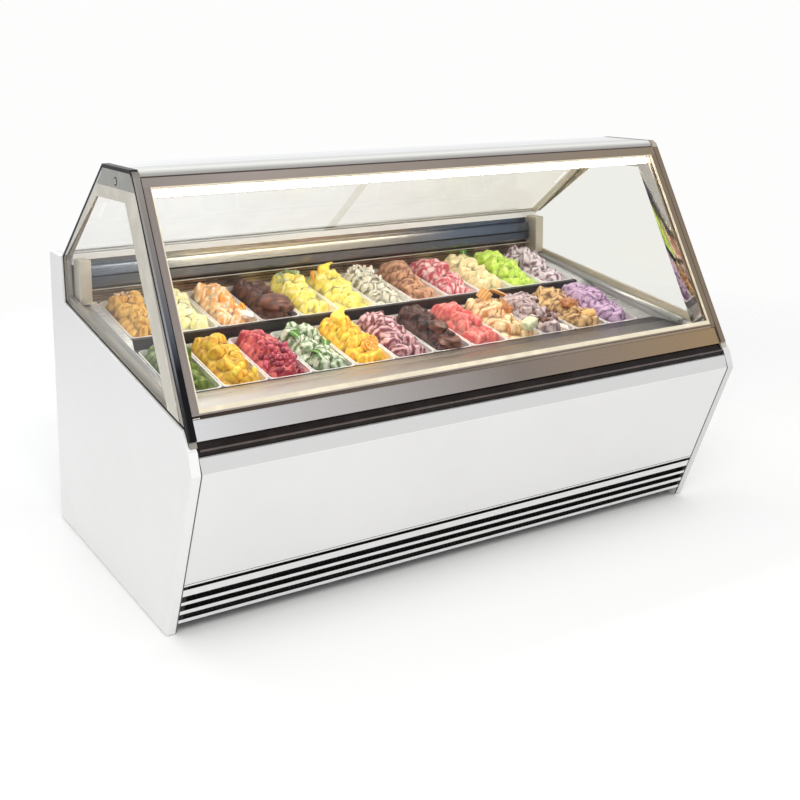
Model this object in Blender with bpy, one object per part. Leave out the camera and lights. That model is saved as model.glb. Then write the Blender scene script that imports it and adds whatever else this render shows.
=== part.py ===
"""Ice cream dipping cabinet: a refrigerated glass-fronted counter for two stepped rows of twelve pans.

Frame: +X to the customer's right along the cabinet, +Y towards the operator at the back, +Z up.
The origin is on the floor, under the centre of the cabinet's bounding box. All sizes are metres.
"""

import math

import bmesh
import bpy
from mathutils import Matrix, Vector

# ---------------------------------------------------------------- driving dimensions
WIDTH = 2.200
DEPTH = 1.340
HEIGHT = 1.420
HALF = WIDTH / 2
REAR = DEPTH / 2

TOUCH = 0.0003          # gap between pieces that rest on each other
SEAM = 0.0015           # visible seam between fitted panels
PANEL = 0.030           # thickness of the white end panels
FLOOR_CLEARANCE = 0.003

# End outline, (y, z) points seen from the side
FOOT = (-0.428, FLOOR_CLEARANCE)
KNEE = (-REAR, 0.587)
TOE = (-0.640, 0.660)           # lower end of the corner post
GLASS_FRONT_LOW = (-0.602, 0.7075)
GLASS_REAR_LOW = (0.518, 0.8745)
SHELF_FRONT = (0.531, 1.0455)
LID_REAR = (0.041, HEIGHT)
LID_FRONT = (-0.219, HEIGHT)
LID_NOSE = (-0.238, 1.409)
END_OUTLINE = [TOE, GLASS_FRONT_LOW, GLASS_REAR_LOW, SHELF_FRONT, LID_REAR, LID_FRONT, LID_NOSE]
PANEL_TOP = 1.044
FRONT_FOOT_Y = -0.100

FRAME_OUT = HALF - 0.0095       # outer face of the glass module
FRAME_IN = HALF - 0.033         # inner face of the end frames
DOOR_HALF = FRAME_IN - SEAM     # half width of the front glass frame
PANEL_IN = HALF - PANEL
FILL_HALF = PANEL_IN - SEAM     # half width of what fits between the end panels

# Pans: two rows on one slope
PAN_COUNT = 12
PAN_PITCH = 0.16475
PAN_RIM_WIDTH = 0.1635
PAN_LENGTH = 0.362
PAN_DEPTH = 0.118
PAN_RIM_DROP = 0.006
PAN_OVERHANG = 0.006
PAN_TAPER = 0.006
PAN_WALL = 0.0012
ROW_TILT = math.radians(10.0)
ROW_FRONTS = {"front": (-0.283, 0.712), "back": (0.118, 0.808)}

# Front glass door, measured along its own plane from TOE_LINE
TOE_LINE = (-0.646, 0.659)
NOSE_LINE = (-0.238, 1.410)
DOOR_LOW = 0.0925
DOOR_HIGH = 0.838
DOOR_THICK = 0.025
STILE = 0.024
TOP_STILE = 0.032
LOW_STILE = 0.018
GLASS_THICK = 0.008
HINGE_INSET = 0.006
HINGE_RADIUS = 0.004
PIVOT_GAP = 0.0002

# Rear sliding doors
REAR_DOOR_THICK = 0.006
REAR_DOOR_OUTER = -0.0025
REAR_DOOR_STEP = 0.010
REAR_DOOR_TOP = 0.022
REAR_DOOR_BOTTOM = 0.592
REAR_DOOR_LENGTH = 1.085

WHITE = (0.90, 0.90, 0.90)
STEEL = (0.62, 0.62, 0.63)
CHAMPAGNE = (0.52, 0.47, 0.42)
ALUMINIUM = (0.72, 0.72, 0.71)
GALVANISED = (0.45, 0.46, 0.47)
BROWN_BLACK = (0.045, 0.032, 0.026)
GLASS = (0.85, 0.92, 0.90)
BLACK = (0.03, 0.03, 0.035)


# ---------------------------------------------------------------- helpers
def clear_scene():
    for item in list(bpy.data.objects):
        bpy.data.objects.remove(item, do_unlink=True)


def make_material(name, colour, roughness, metallic):
    material = bpy.data.materials.new(name)
    material.use_nodes = True
    shader = material.node_tree.nodes["Principled BSDF"]
    shader.inputs["Base Color"].default_value = (*colour, 1.0)
    shader.inputs["Roughness"].default_value = roughness
    shader.inputs["Metallic"].default_value = metallic
    return material


def new_object(name, bm, look=None):
    """A mesh object with its faces turned outwards; look is (colour, roughness, metallic)."""
    bmesh.ops.recalc_face_normals(bm, faces=bm.faces)
    mesh = bpy.data.meshes.new(name)
    bm.to_mesh(mesh)
    bm.free()
    item = bpy.data.objects.new(name, mesh)
    bpy.context.collection.objects.link(item)
    if look:
        mesh.materials.append(make_material(name, *look))
    return item


def add_prism(bm, outline, low, high, axis="X"):
    """Extrudes a closed outline along an axis; the outline's two numbers are the other axes in order."""
    def place(a, b, along):
        if axis == "X":
            return (along, a, b)
        if axis == "Y":
            return (a, along, b)
        return (a, b, along)

    first = [bm.verts.new(place(a, b, low)) for a, b in outline]
    last = [bm.verts.new(place(a, b, high)) for a, b in outline]
    bm.faces.new(first)
    bm.faces.new(list(reversed(last)))
    count = len(outline)
    for i in range(count):
        j = (i + 1) % count
        bm.faces.new((first[j], first[i], last[i], last[j]))


def prism(name, outline, low, high, look=None, axis="X"):
    bm = bmesh.new()
    add_prism(bm, outline, low, high, axis)
    return new_object(name, bm, look)


def box(name, low, high, look=None):
    outline = [(low[1], low[2]), (high[1], low[2]), (high[1], high[2]), (low[1], high[2])]
    return prism(name, outline, low[0], high[0], look)


def cylinder(name, centre, radius, length, axis="X", sides=16, look=None):
    """A round bar centred on a point, its length along an axis."""
    bm = bmesh.new()
    bmesh.ops.create_cone(bm, cap_ends=True, segments=sides, radius1=radius, radius2=radius, depth=length)
    quarter = math.pi / 2
    turn = {"X": Matrix.Rotation(quarter, 4, "Y"), "Y": Matrix.Rotation(quarter, 4, "X"), "Z": Matrix()}
    bmesh.ops.transform(bm, matrix=Matrix.Translation(centre) @ turn[axis], verts=bm.verts)
    return new_object(name, bm, look)


def combine(target, others, operation):
    """Applies a Boolean with each other object in turn, then removes the others."""
    for other in others:
        modifier = target.modifiers.new("combine", "BOOLEAN")
        modifier.operation = operation
        modifier.solver = "EXACT"
        modifier.object = other
    bake(target)
    for other in others:
        bpy.data.objects.remove(other, do_unlink=True)
    return target


def bake(target):
    """Replaces an object's mesh with its evaluated mesh, and drops the modifiers."""
    graph = bpy.context.evaluated_depsgraph_get()
    mesh = bpy.data.meshes.new_from_object(target.evaluated_get(graph))
    target.modifiers.clear()
    target.data = mesh


def cut(target, *cutters):
    return combine(target, cutters, "DIFFERENCE")


def join(target, *others):
    return combine(target, others, "UNION")


def soften(target, width, segments=2, angle=35.0):
    """Rounds the edges sharper than the angle."""
    modifier = target.modifiers.new("soften", "BEVEL")
    modifier.width = width
    modifier.segments = segments
    modifier.limit_method = "ANGLE"
    modifier.angle_limit = math.radians(angle)
    bake(target)
    return target


def smooth(target, angle=35.0):
    target.data.shade_smooth()
    target.data.set_sharp_from_angle(angle=math.radians(angle))
    return target


def inset(outline, distances):
    """Moves each edge of a counter-clockwise outline inwards by a distance; edge i leaves point i."""
    count = len(outline)
    lines = []
    for i in range(count):
        start = Vector(outline[i])
        along = (Vector(outline[(i + 1) % count]) - start).normalized()
        inward = Vector((-along.y, along.x))
        lines.append((start + inward * distances[i], along))
    points = []
    for i in range(count):
        p, u = lines[i - 1]
        q, v = lines[i]
        gap = q - p
        run = (gap.x * v.y - gap.y * v.x) / (u.x * v.y - u.y * v.x)
        points.append(tuple(p + u * run))
    return points


def on_slope(origin, tilt, along, above):
    """The (y, z) of a point measured along and above a slope that rises to the rear."""
    y = origin[0] + along * math.cos(tilt) - above * math.sin(tilt)
    z = origin[1] + along * math.sin(tilt) + above * math.cos(tilt)
    return (y, z)


DOOR_UP = (Vector(NOSE_LINE) - Vector(TOE_LINE)).normalized()
DOOR_OUT = Vector((-DOOR_UP.y, DOOR_UP.x))
REAR_DOWN = (Vector(SHELF_FRONT) - Vector(LID_REAR)).normalized()
REAR_OUT = Vector((-REAR_DOWN.y, REAR_DOWN.x))


def on_door(up, out):
    """The (y, z) of a point measured up and out from the front glass plane's foot."""
    return tuple(Vector(TOE_LINE) + DOOR_UP * up + DOOR_OUT * out)


def on_rear(down, out):
    """The (y, z) of a point measured down and out from the rear slope's upper edge."""
    return tuple(Vector(LID_REAR) + REAR_DOWN * down + REAR_OUT * out)


def front_face(height, behind=0.0):
    """The (y, z) on the front panels' slope below the knee, at a height and set back by a distance."""
    share = (height - FOOT[1]) / (KNEE[1] - FOOT[1])
    y = FOOT[0] + (KNEE[0] - FOOT[0]) * share
    return (y + behind, height)


HINGE = on_door(DOOR_LOW + HINGE_INSET, -HINGE_INSET)


# ---------------------------------------------------------------- casework
def side_panels():
    toe, glass_front, glass_rear, shelf = inset(END_OUTLINE, [-2 * TOUCH] * len(END_OUTLINE))[:4]
    outline = [
        FOOT, (REAR, FOOT[1]), (REAR, PANEL_TOP), (shelf[0], PANEL_TOP),
        glass_rear, glass_front, (toe[0] + 0.001, toe[1] - 0.001), (TOE[0] - 0.006, toe[1] - 0.001), KNEE,
    ]
    for name, low, high in (("left_side_panel", -HALF, -PANEL_IN), ("right_side_panel", PANEL_IN, HALF)):
        soften(prism(name, outline, low, high, (WHITE, 0.25, 0.0)), 0.0022)


def base_frame():
    """Welded chassis with a floor tray, two long rails, three cross rails and four feet set well back."""
    half_x = FILL_HALF - 0.004
    front, back = -0.400, 0.640
    low, high, rail = 0.045, 0.085, 0.040
    tray = 0.004
    stem_radius, stem_length = 0.008, 0.050
    pad_radius, pad_height = 0.0235, 0.012
    look = (GALVANISED, 0.45, 0.8)
    frame = box("base_frame", (-half_x, front, high - tray), (half_x, back, high), look)
    rails = [
        box("rail", (-half_x, front, low), (half_x, front + rail, high)),
        box("rail", (-half_x, back - rail, low), (half_x, back, high)),
    ]
    for x in (-half_x, -rail / 2, half_x - rail):
        rails.append(box("rail", (x, front + rail / 2, low), (x + rail, back - rail / 2, high)))
    feet = []
    for x in (-half_x + rail / 2, half_x - rail / 2):
        for y in (FRONT_FOOT_Y, back - rail / 2):
            stem_middle = (pad_height + stem_length) / 2
            feet.append(cylinder("stem", (x, y, stem_middle), stem_radius, stem_length, "Z", 12))
            feet.append(cylinder("pad", (x, y, pad_height / 2), pad_radius, pad_height, "Z", 20))
    join(frame, *rails, *feet)


def front_panels():
    """The white lower front with its fold under the bumper, and the louvred grille below it."""
    sheet = 0.012
    back = SEAM
    top = 0.632
    knee = (KNEE[0] + back, KNEE[1])
    upper = (knee[0] + 0.0165, top)
    low = front_face(0.1905, back)
    outline = [
        low, (low[0] + sheet, low[1]), (knee[0] + sheet + 0.001, knee[1]),
        (upper[0] + sheet, top), upper, knee,
    ]
    soften(prism("front_panel", outline, -FILL_HALF, FILL_HALF, (WHITE, 0.25, 0.0)), 0.0012)

    slope = front_face(0.0405, back)
    crest = front_face(0.1890, back)
    face = [slope, (slope[0] + sheet, slope[1]), (crest[0] + sheet, crest[1]), crest]
    grille = prism("louvre_grille", face, -FILL_HALF, FILL_HALF, (WHITE, 0.3, 0.0))
    slots = []
    reach = FILL_HALF - 0.016
    for bottom, height in ((0.0530, 0.021), (0.0880, 0.022), (0.1220, 0.023), (0.1700, 0.013)):
        y = front_face(bottom)[0]
        slots.append(box("slot", (-reach, y - 0.06, bottom), (reach, y + 0.06, bottom + height)))
    cut(grille, *slots)


def bumper_and_fascia():
    lower = 0.6335
    upper = 0.6750
    outline = [
        (-0.6415, lower), (-0.6000, lower), (-0.6000, upper), (-0.6215, upper),
        (-0.6345, 0.6580), (-0.6385, 0.6540), (-0.6440, 0.6490), (-0.6440, 0.6370),
    ]
    rail = prism("bumper_rail", outline, -FILL_HALF, FILL_HALF, (BROWN_BLACK, 0.25, 0.0))
    soften(rail, 0.0015, 2, 25.0)

    low_t, high_t = 0.0213, 0.0855
    outline = [
        on_door(low_t, -0.004), (on_door(low_t, -0.004)[0] + 0.026, on_door(low_t, -0.004)[1]),
        (on_door(high_t, -0.028)[0], on_door(high_t, -0.028)[1] - 0.004), on_door(high_t, -0.028),
        on_door(high_t, -0.006), on_door(high_t - 0.002, -0.004),
    ]
    prism("front_fascia", outline, -DOOR_HALF, DOOR_HALF, (CHAMPAGNE, 0.32, 0.9))


def insulated_tub():
    outline = [
        (-0.500, 0.405), (0.600, 0.405), (0.600, 0.850), (0.485, 0.840), (0.095, 0.764), (-0.300, 0.693),
        (-0.500, 0.686),
    ]
    tub = prism("insulated_tub", outline, -1.060, 1.060, (STEEL, 0.35, 0.9))
    well = [(-0.320, 0.450), (0.560, 0.450), (0.560, 1.000), (-0.320, 1.000)]
    drain = cylinder("drain", (0.700, 0.120, 0.420), 0.014, 0.100, "Z", 16)
    cut(tub, prism("well", well, -1.010, 1.010), drain)


def bent_sheet(line, thickness):
    """A folded sheet's closed outline: its face line, then that line moved to its right by the thickness."""
    points = [Vector(p) for p in line]
    under = []
    for i, point in enumerate(points):
        ways = []
        if i > 0:
            ways.append((point - points[i - 1]).normalized())
        if i < len(points) - 1:
            ways.append((points[i + 1] - point).normalized())
        sides = [Vector((way.y, -way.x)) for way in ways]
        middle = sum(sides, Vector((0.0, 0.0))).normalized()
        under.append(tuple(point + middle * thickness / middle.dot(sides[0])))
    return list(line) + under[::-1]


def rim_height(row, along):
    """The height of the underside of the pans' rims at a distance up the row."""
    return on_slope(ROW_FRONTS[row], ROW_TILT, along, -PAN_RIM_DROP - TOUCH)


def pan_deck():
    """One welded stainless deck: front sill, and a stepped ledge down each side."""
    look = (STEEL, 0.28, 1.0)
    thickness = 0.004
    rest_front = rim_height("front", -0.003)
    front_line = [
        (-0.578, 0.7000), (-0.420, 0.7000), (-0.412, 0.7060), (-0.300, 0.7130), (rest_front[0], 0.7130),
        rest_front, rim_height("front", 0.005),
    ]
    deck = prism("pan_deck", bent_sheet(front_line, thickness), -1.0600, 1.0600, look)
    row_edge = PAN_COUNT * PAN_PITCH / 2
    lower = [on_slope(ROW_FRONTS["front"], ROW_TILT, a, 0.0) for a in (0.0, PAN_LENGTH + 0.012)]
    upper = [on_slope(ROW_FRONTS["back"], ROW_TILT, a, 0.0) for a in (-0.016, PAN_LENGTH + 0.004)]
    side_line = [(-0.405, 0.7062), (-0.300, 0.7126), *lower, *upper]
    low, high = row_edge + 0.002, 1.0600
    ledges = [
        prism("ledge", bent_sheet(side_line, thickness), low, high),
        prism("ledge", bent_sheet(side_line, thickness), -high, -low),
    ]
    join(deck, *ledges)


def middle_pan_rail():
    """The stepped rail between the rows, which carries the rims of both where they meet."""
    half = PAN_COUNT * PAN_PITCH / 2 + 0.0005
    low = rim_height("front", PAN_LENGTH - 0.005)
    low_back = rim_height("front", PAN_LENGTH + 0.004)
    high = rim_height("back", 0.005)
    high_front = rim_height("back", -0.016)
    riser = high_front[0]
    thickness = 0.004
    outline = [
        low, (low[0], low[1] - thickness), (riser + thickness, low_back[1] - thickness),
        (riser + thickness, high_front[1] - thickness), (high[0], high[1] - thickness), high,
        on_slope(ROW_FRONTS["back"], ROW_TILT, -0.001, -PAN_RIM_DROP - TOUCH),
        on_slope(ROW_FRONTS["back"], ROW_TILT, -0.001, 0.0),
        on_slope(ROW_FRONTS["back"], ROW_TILT, -0.016, 0.0),
        (riser, high_front[1]), (riser, low_back[1]), low_back,
    ]
    prism("middle_pan_rail", outline, -half, half, (STEEL, 0.3, 1.0))


def rear_air_panel():
    """The ribbed air outlet behind the back row, with the ledge that carries that row's rear rims."""
    half = 1.020
    thickness = 0.003
    rest = rim_height("back", PAN_LENGTH - 0.005)
    ledge = rim_height("back", PAN_LENGTH + 0.006)
    wall = on_slope(ROW_FRONTS["back"], ROW_TILT, PAN_LENGTH + 0.010, 0.0)
    bottom, top = wall[1] + 0.002, 1.0095
    ribs = 6
    step = (top - bottom) / ribs
    line = [rest, ledge, (wall[0], ledge[1]), (wall[0], bottom)]
    for k in range(ribs):
        base = bottom + k * step
        line.append((wall[0] + 0.007, base + 0.18 * step))
        line.append((wall[0] + 0.007, base + 0.55 * step))
        line.append((wall[0], base + 0.72 * step))
        line.append((wall[0], base + step))
    back = [(y + thickness, z) for y, z in reversed(line[3:])]
    back += [(wall[0] + thickness, ledge[1] - thickness), (rest[0], rest[1] - thickness)]
    prism("rear_air_panel", line + back, -half, half, (STEEL, 0.35, 0.9))


def rear_worktop():
    """The operator's shelf with the lower track of the rear sliding doors."""
    low, high = 1.0120, 1.0435
    front = 0.4985
    narrow = FRAME_IN - SEAM
    shelf_y = SHELF_FRONT[0] + 0.003
    plan = [
        (-narrow, front), (narrow, front), (narrow, shelf_y), (FILL_HALF, shelf_y),
        (FILL_HALF, REAR - 0.001), (-FILL_HALF, REAR - 0.001), (-FILL_HALF, shelf_y), (-narrow, shelf_y),
    ]
    shelf = prism("rear_worktop", plan, low, high, (WHITE, 0.3, 0.0), "Z")
    inner = on_rear(0.580, -0.0215)
    track = [inner, (inner[0], 1.030), (0.529, 1.030), (0.529, 1.0440), on_rear(0.580, -0.0005)]
    join(shelf, prism("track", track, -narrow, narrow))
    cut(shelf, *door_slots(narrow + 0.01))


def rear_door_outline(index, spare=0.0):
    """Cross-section of a rear door; index 0 is the outer track."""
    out = REAR_DOOR_OUTER - index * REAR_DOOR_STEP + spare
    back = out - REAR_DOOR_THICK - 2 * spare
    top, bottom = REAR_DOOR_TOP - spare, REAR_DOOR_BOTTOM + spare
    return [on_rear(top, out), on_rear(bottom, out), on_rear(bottom, back), on_rear(top, back)]


def door_slots(half):
    return [prism("slot", rear_door_outline(i, 0.0006), -half, half) for i in (0, 1)]


def top_rail():
    """The canopy's lid: an inverted channel with the rear doors' upper track along its back edge."""
    half = FRAME_IN - SEAM
    lip = on_rear(0.034, -0.0225)
    outline = [
        (-0.2350, 1.3970), (-0.2350, 1.4075), (-0.2190, HEIGHT - 0.0005), on_rear(0.0005, -0.0006),
        on_rear(0.034, -0.0006), lip, (0.0180, lip[1]), (0.0180, 1.4075), (-0.2120, 1.4075),
        (-0.2120, 1.3970),
    ]
    rail = prism("top_rail", outline, -half, half, (ALUMINIUM, 0.3, 0.9))
    cut(rail, *door_slots(half + 0.01))


def led_lamp():
    """The light strip under the lid, a trapezoid in section."""
    middle, top, shoulder, bottom = -0.175, 1.4072, 1.3930, 1.3860
    wide, narrow = 0.023, 0.015
    outline = [
        (middle - wide, top), (middle - wide, shoulder), (middle - narrow, bottom),
        (middle + narrow, bottom), (middle + wide, shoulder), (middle + wide, top),
    ]
    prism("led_lamp", outline, -1.030, 1.030, ((1.0, 0.98, 0.92), 0.5, 0.0))


# ---------------------------------------------------------------- glass
LOCK_PLACE = (-0.086, 1.373)
LOCK_RADIUS = 0.009


def end_glass_outline(extra):
    """The end pane's outline: inset from the frame's own outline, with the toe cut off square."""
    low_edge = Vector(GLASS_REAR_LOW) - Vector(GLASS_FRONT_LOW)
    front_low = tuple(Vector(GLASS_FRONT_LOW) + low_edge * 0.022)
    outline = [front_low, GLASS_REAR_LOW, SHELF_FRONT, LID_REAR, (LID_FRONT[0] + 0.003, HEIGHT)]
    edge = 0.0045 - extra
    return inset(outline, [edge + 0.0015, edge, edge, edge, -extra])


def end_frames():
    """Each end's aluminium frame with its corner post, and the pane let into its outer face."""
    pane = 0.0085
    for side, sign in (("left", -1), ("right", 1)):
        low, high = sorted((sign * FRAME_IN, sign * FRAME_OUT))
        frame = prism(f"{side}_end_frame", END_OUTLINE, low, high, (CHAMPAGNE, 0.32, 0.9))
        rebate_low, rebate_high = sorted((sign * (FRAME_OUT - pane - TOUCH), sign * (FRAME_OUT + 0.01)))
        through_low, through_high = sorted((sign * (FRAME_IN - 0.01), sign * (FRAME_OUT + 0.01)))
        pivot = (sign * FRAME_IN, HINGE[0], HINGE[1])
        cutters = [
            prism("rebate", end_glass_outline(0.0005), rebate_low, rebate_high),
            prism("opening", window_outline(), through_low, through_high),
            cylinder("hinge_hole", pivot, HINGE_RADIUS + PIVOT_GAP, 0.024, "X", 16),
        ]
        place = (sign * FRAME_OUT, *LOCK_PLACE)
        if side == "left":
            cutters.append(cylinder("lock_hole", place, LOCK_RADIUS + 0.0008, 0.10, "X", 20))
        cut(frame, *cutters)
        glass_low, glass_high = sorted((sign * (FRAME_OUT - pane), sign * FRAME_OUT))
        glass = prism(f"{side}_end_glass", end_glass_outline(0.0), glass_low, glass_high, (GLASS, 0.02, 0.0))
        if side == "left":
            cut(glass, cylinder("lock_hole", place, LOCK_RADIUS + 0.0008, 0.10, "X", 20))


def window_outline():
    """The clear opening of an end frame."""
    corners = [on_door(0.060, 0.0), GLASS_REAR_LOW, SHELF_FRONT, LID_REAR, on_door(0.850, 0.0)]
    return inset(corners, [0.026, 0.016, 0.022, 0.052, 0.056])


def glass_lock():
    """Quarter-turn lock on the left end cap: a barrel with a key slot and a short cam inside."""
    outer = -(FRAME_OUT + 0.0025)
    inner = -(FRAME_IN - 0.010)
    middle = (outer + inner) / 2
    barrel = cylinder(
        "glass_lock", (middle, *LOCK_PLACE), LOCK_RADIUS, inner - outer, "X", 20, (STEEL, 0.25, 1.0)
    )
    y, z = LOCK_PLACE
    cam = box("cam", (inner - 0.006, y - 0.004, z - 0.022), (inner - 0.001, y + 0.004, z))
    join(barrel, cam)
    key_slot = box("key_slot", (outer - 0.002, y - 0.0012, z - 0.005), (outer + 0.004, y + 0.0012, z + 0.005))
    cut(barrel, key_slot)
    smooth(barrel)


def front_glass():
    """The tilting front: an aluminium frame and the pane held in its groove."""
    def rectangle(up_low, up_high, out, back):
        return [on_door(up_low, back), on_door(up_high, back), on_door(up_high, out), on_door(up_low, out)]

    outline = [
        on_door(DOOR_LOW, -DOOR_THICK), on_door(DOOR_HIGH, -DOOR_THICK), on_door(DOOR_HIGH, 0.0),
        on_door(DOOR_LOW + 0.006, 0.0), on_door(DOOR_LOW + 0.0018, -0.0018), on_door(DOOR_LOW, -0.006),
    ]
    frame = prism("front_glass_frame", outline, -DOOR_HALF, DOOR_HALF, (CHAMPAGNE, 0.32, 0.9))
    inner = DOOR_HALF - STILE
    opening = rectangle(DOOR_LOW + LOW_STILE, DOOR_HIGH - TOP_STILE, 0.02, -DOOR_THICK - 0.02)
    bite = 0.009
    pane_out = -0.007
    groove_low, groove_high = DOOR_LOW + LOW_STILE - bite, DOOR_HIGH - TOP_STILE + bite
    play = 0.0004
    groove = rectangle(groove_low, groove_high, pane_out + play, pane_out - GLASS_THICK - play)
    cutters = [
        prism("opening", opening, -inner, inner),
        prism("groove", groove, -inner - bite, inner + bite),
    ]
    for x in (-DOOR_HALF, DOOR_HALF):
        cutters.append(cylinder("hinge_hole", (x, *HINGE), HINGE_RADIUS + PIVOT_GAP, 0.024, "X", 16))
    cut(frame, *cutters)
    spare = 0.0008
    pane = rectangle(groove_low + spare, groove_high - spare, pane_out, pane_out - GLASS_THICK)
    prism("front_glass", pane, -inner - bite + spare, inner + bite - spare, (GLASS, 0.02, 0.0))
    for name, sign in (("left_hinge_pin", -1), ("right_hinge_pin", 1)):
        centre = (sign * (FRAME_IN + DOOR_HALF) / 2, *HINGE)
        smooth(cylinder(name, centre, HINGE_RADIUS, 0.021, "X", 16, (STEEL, 0.2, 1.0)))


def rear_doors():
    """Two clear sliding doors on the rear slope, each with a finger slot near its outer end."""
    end = FRAME_IN - SEAM - 0.004
    reach = end - REAR_DOOR_LENGTH
    for name, track, low, high in (("left_rear_door", 0, -end, -reach), ("right_rear_door", 1, reach, end)):
        door = prism(name, rear_door_outline(track), low, high, ((0.86, 0.90, 0.90), 0.05, 0.0))
        near = low + 0.030 if track == 0 else high - 0.050
        slot = [on_rear(0.240, 0.02), on_rear(0.340, 0.02), on_rear(0.340, -0.05), on_rear(0.240, -0.05)]
        cut(door, prism("finger_slot", slot, near, near + 0.020))


# ---------------------------------------------------------------- pans
def rounded_loop(bm, half_x, low, high, radius, height, steps=3):
    """A ring of vertices round a rectangle with round corners."""
    corners = (
        (half_x - radius, low + radius, -90.0), (half_x - radius, high - radius, 0.0),
        (-half_x + radius, high - radius, 90.0), (-half_x + radius, low + radius, 180.0),
    )
    ring = []
    for x, y, start in corners:
        for k in range(steps + 1):
            angle = math.radians(start + 90.0 * k / steps)
            ring.append(bm.verts.new((x + radius * math.cos(angle), y + radius * math.sin(angle), height)))
    return ring


def pan_mesh():
    """A steel pan seen from its rim's front edge: x across, y up the row, z above the rim."""
    bm = bmesh.new()
    half = PAN_RIM_WIDTH / 2
    wall_half = half - PAN_OVERHANG
    floor_half = wall_half - PAN_TAPER
    start = PAN_OVERHANG
    end = PAN_LENGTH - PAN_OVERHANG
    wall = PAN_WALL
    inner_start, inner_end = start + PAN_TAPER + wall, end - PAN_TAPER - wall
    rings = [
        rounded_loop(bm, floor_half, start + PAN_TAPER, end - PAN_TAPER, 0.024, -PAN_DEPTH),
        rounded_loop(bm, wall_half, start, end, 0.018, -PAN_RIM_DROP),
        rounded_loop(bm, half, 0.0, PAN_LENGTH, 0.022, -PAN_RIM_DROP),
        rounded_loop(bm, half - 0.0012, 0.0012, PAN_LENGTH - 0.0012, 0.021, 0.0),
        rounded_loop(bm, wall_half - wall, start + wall, end - wall, 0.017, 0.0),
        rounded_loop(bm, floor_half - wall, inner_start, inner_end, 0.023, -PAN_DEPTH + wall),
    ]
    bm.faces.new(rings[0])
    for ring, following in zip(rings, rings[1:]):
        for i in range(len(ring)):
            j = (i + 1) % len(ring)
            bm.faces.new((ring[i], ring[j], following[j], following[i]))
    bm.faces.new(rings[-1])
    bmesh.ops.recalc_face_normals(bm, faces=bm.faces)
    mesh = bpy.data.meshes.new("pan")
    bm.to_mesh(mesh)
    bm.free()
    mesh.materials.append(make_material("pan_steel", STEEL, 0.25, 1.0))
    mesh.shade_smooth()
    mesh.set_sharp_from_angle(angle=math.radians(40.0))
    return mesh


def pans():
    mesh = pan_mesh()
    for row, (y, z) in ROW_FRONTS.items():
        for k in range(PAN_COUNT):
            item = bpy.data.objects.new(f"{row}_pan_{k + 1:02d}", mesh)
            item.location = ((k - (PAN_COUNT - 1) / 2) * PAN_PITCH, y, z)
            item.rotation_euler = (ROW_TILT, 0.0, 0.0)
            bpy.context.collection.objects.link(item)


# ---------------------------------------------------------------- rear panel and controls
CONTROL_X = (0.560, 0.960)
CONTROL_Z = (0.860, 0.960)
CONTROL_FACE = 0.661
PANEL_FACE = 0.655
SWITCH_X = (0.900, 0.850)
BUTTON_X = (0.700, 0.730)
ROCKER_HALF = 0.013
ROCKER_WIDTH = 0.022
ROCKER_TILT = math.radians(7.0)
BUTTON_RADIUS = 0.005
BUTTON_DROP = 0.018             # how far the keys sit below the panel's middle line


def rear_panel():
    """The rear casing with its machine-space vents and the control panel's cut-out."""
    low = (-FILL_HALF, PANEL_FACE - 0.010, 0.095)
    panel = box("rear_panel", low, (FILL_HALF, PANEL_FACE, 1.0110), (WHITE, 0.3, 0.0))
    cutters = [box(
        "cutout", (CONTROL_X[0] + 0.010, PANEL_FACE - 0.05, CONTROL_Z[0] + 0.010),
        (CONTROL_X[1] - 0.010, PANEL_FACE + 0.05, CONTROL_Z[1] - 0.010),
    )]
    vent_length, vent_height, vent_pitch = 0.650, 0.010, 0.026
    for left in (-0.900, 0.250):
        for k in range(8):
            bottom = 0.140 + vent_pitch * k
            far = (left + vent_length, PANEL_FACE + 0.05, bottom + vent_height)
            cutters.append(box("vent", (left, PANEL_FACE - 0.05, bottom), far))
    cut(panel, *cutters)


def control_panel():
    """The bezel with pockets for two rocker switches and two keys, a display window and a mains inlet."""
    spare = 0.0105
    panel = box(
        "control_panel", (CONTROL_X[0], PANEL_FACE + TOUCH, CONTROL_Z[0]),
        (CONTROL_X[1], CONTROL_FACE, CONTROL_Z[1]), (BLACK, 0.4, 0.0),
    )
    body = box(
        "body", (CONTROL_X[0] + spare, PANEL_FACE - 0.035, CONTROL_Z[0] + spare),
        (CONTROL_X[1] - spare, PANEL_FACE + 0.002, CONTROL_Z[1] - spare),
    )
    join(panel, body)
    middle = sum(CONTROL_Z) / 2
    pockets = []
    for x in SWITCH_X:
        half = ROCKER_WIDTH / 2 + 0.0008
        pockets.append(box(
            "pocket", (x - half, PANEL_FACE - 0.012, middle - ROCKER_HALF - 0.0018),
            (x + half, PANEL_FACE + 0.02, middle + ROCKER_HALF + 0.0018),
        ))
    for x in BUTTON_X:
        centre = (x, PANEL_FACE + 0.004, middle - BUTTON_DROP)
        pockets.append(cylinder("pocket", centre, BUTTON_RADIUS + 0.0006, 0.024, "Y", 16))
    pockets.append(box(
        "display", (0.690, CONTROL_FACE - 0.002, middle - 0.004), (0.742, CONTROL_FACE + 0.01, middle + 0.022)
    ))
    pockets.append(box(
        "inlet", (0.588, PANEL_FACE - 0.020, middle - 0.012), (0.618, PANEL_FACE + 0.02, middle + 0.012)
    ))
    cut(panel, *pockets)


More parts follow.
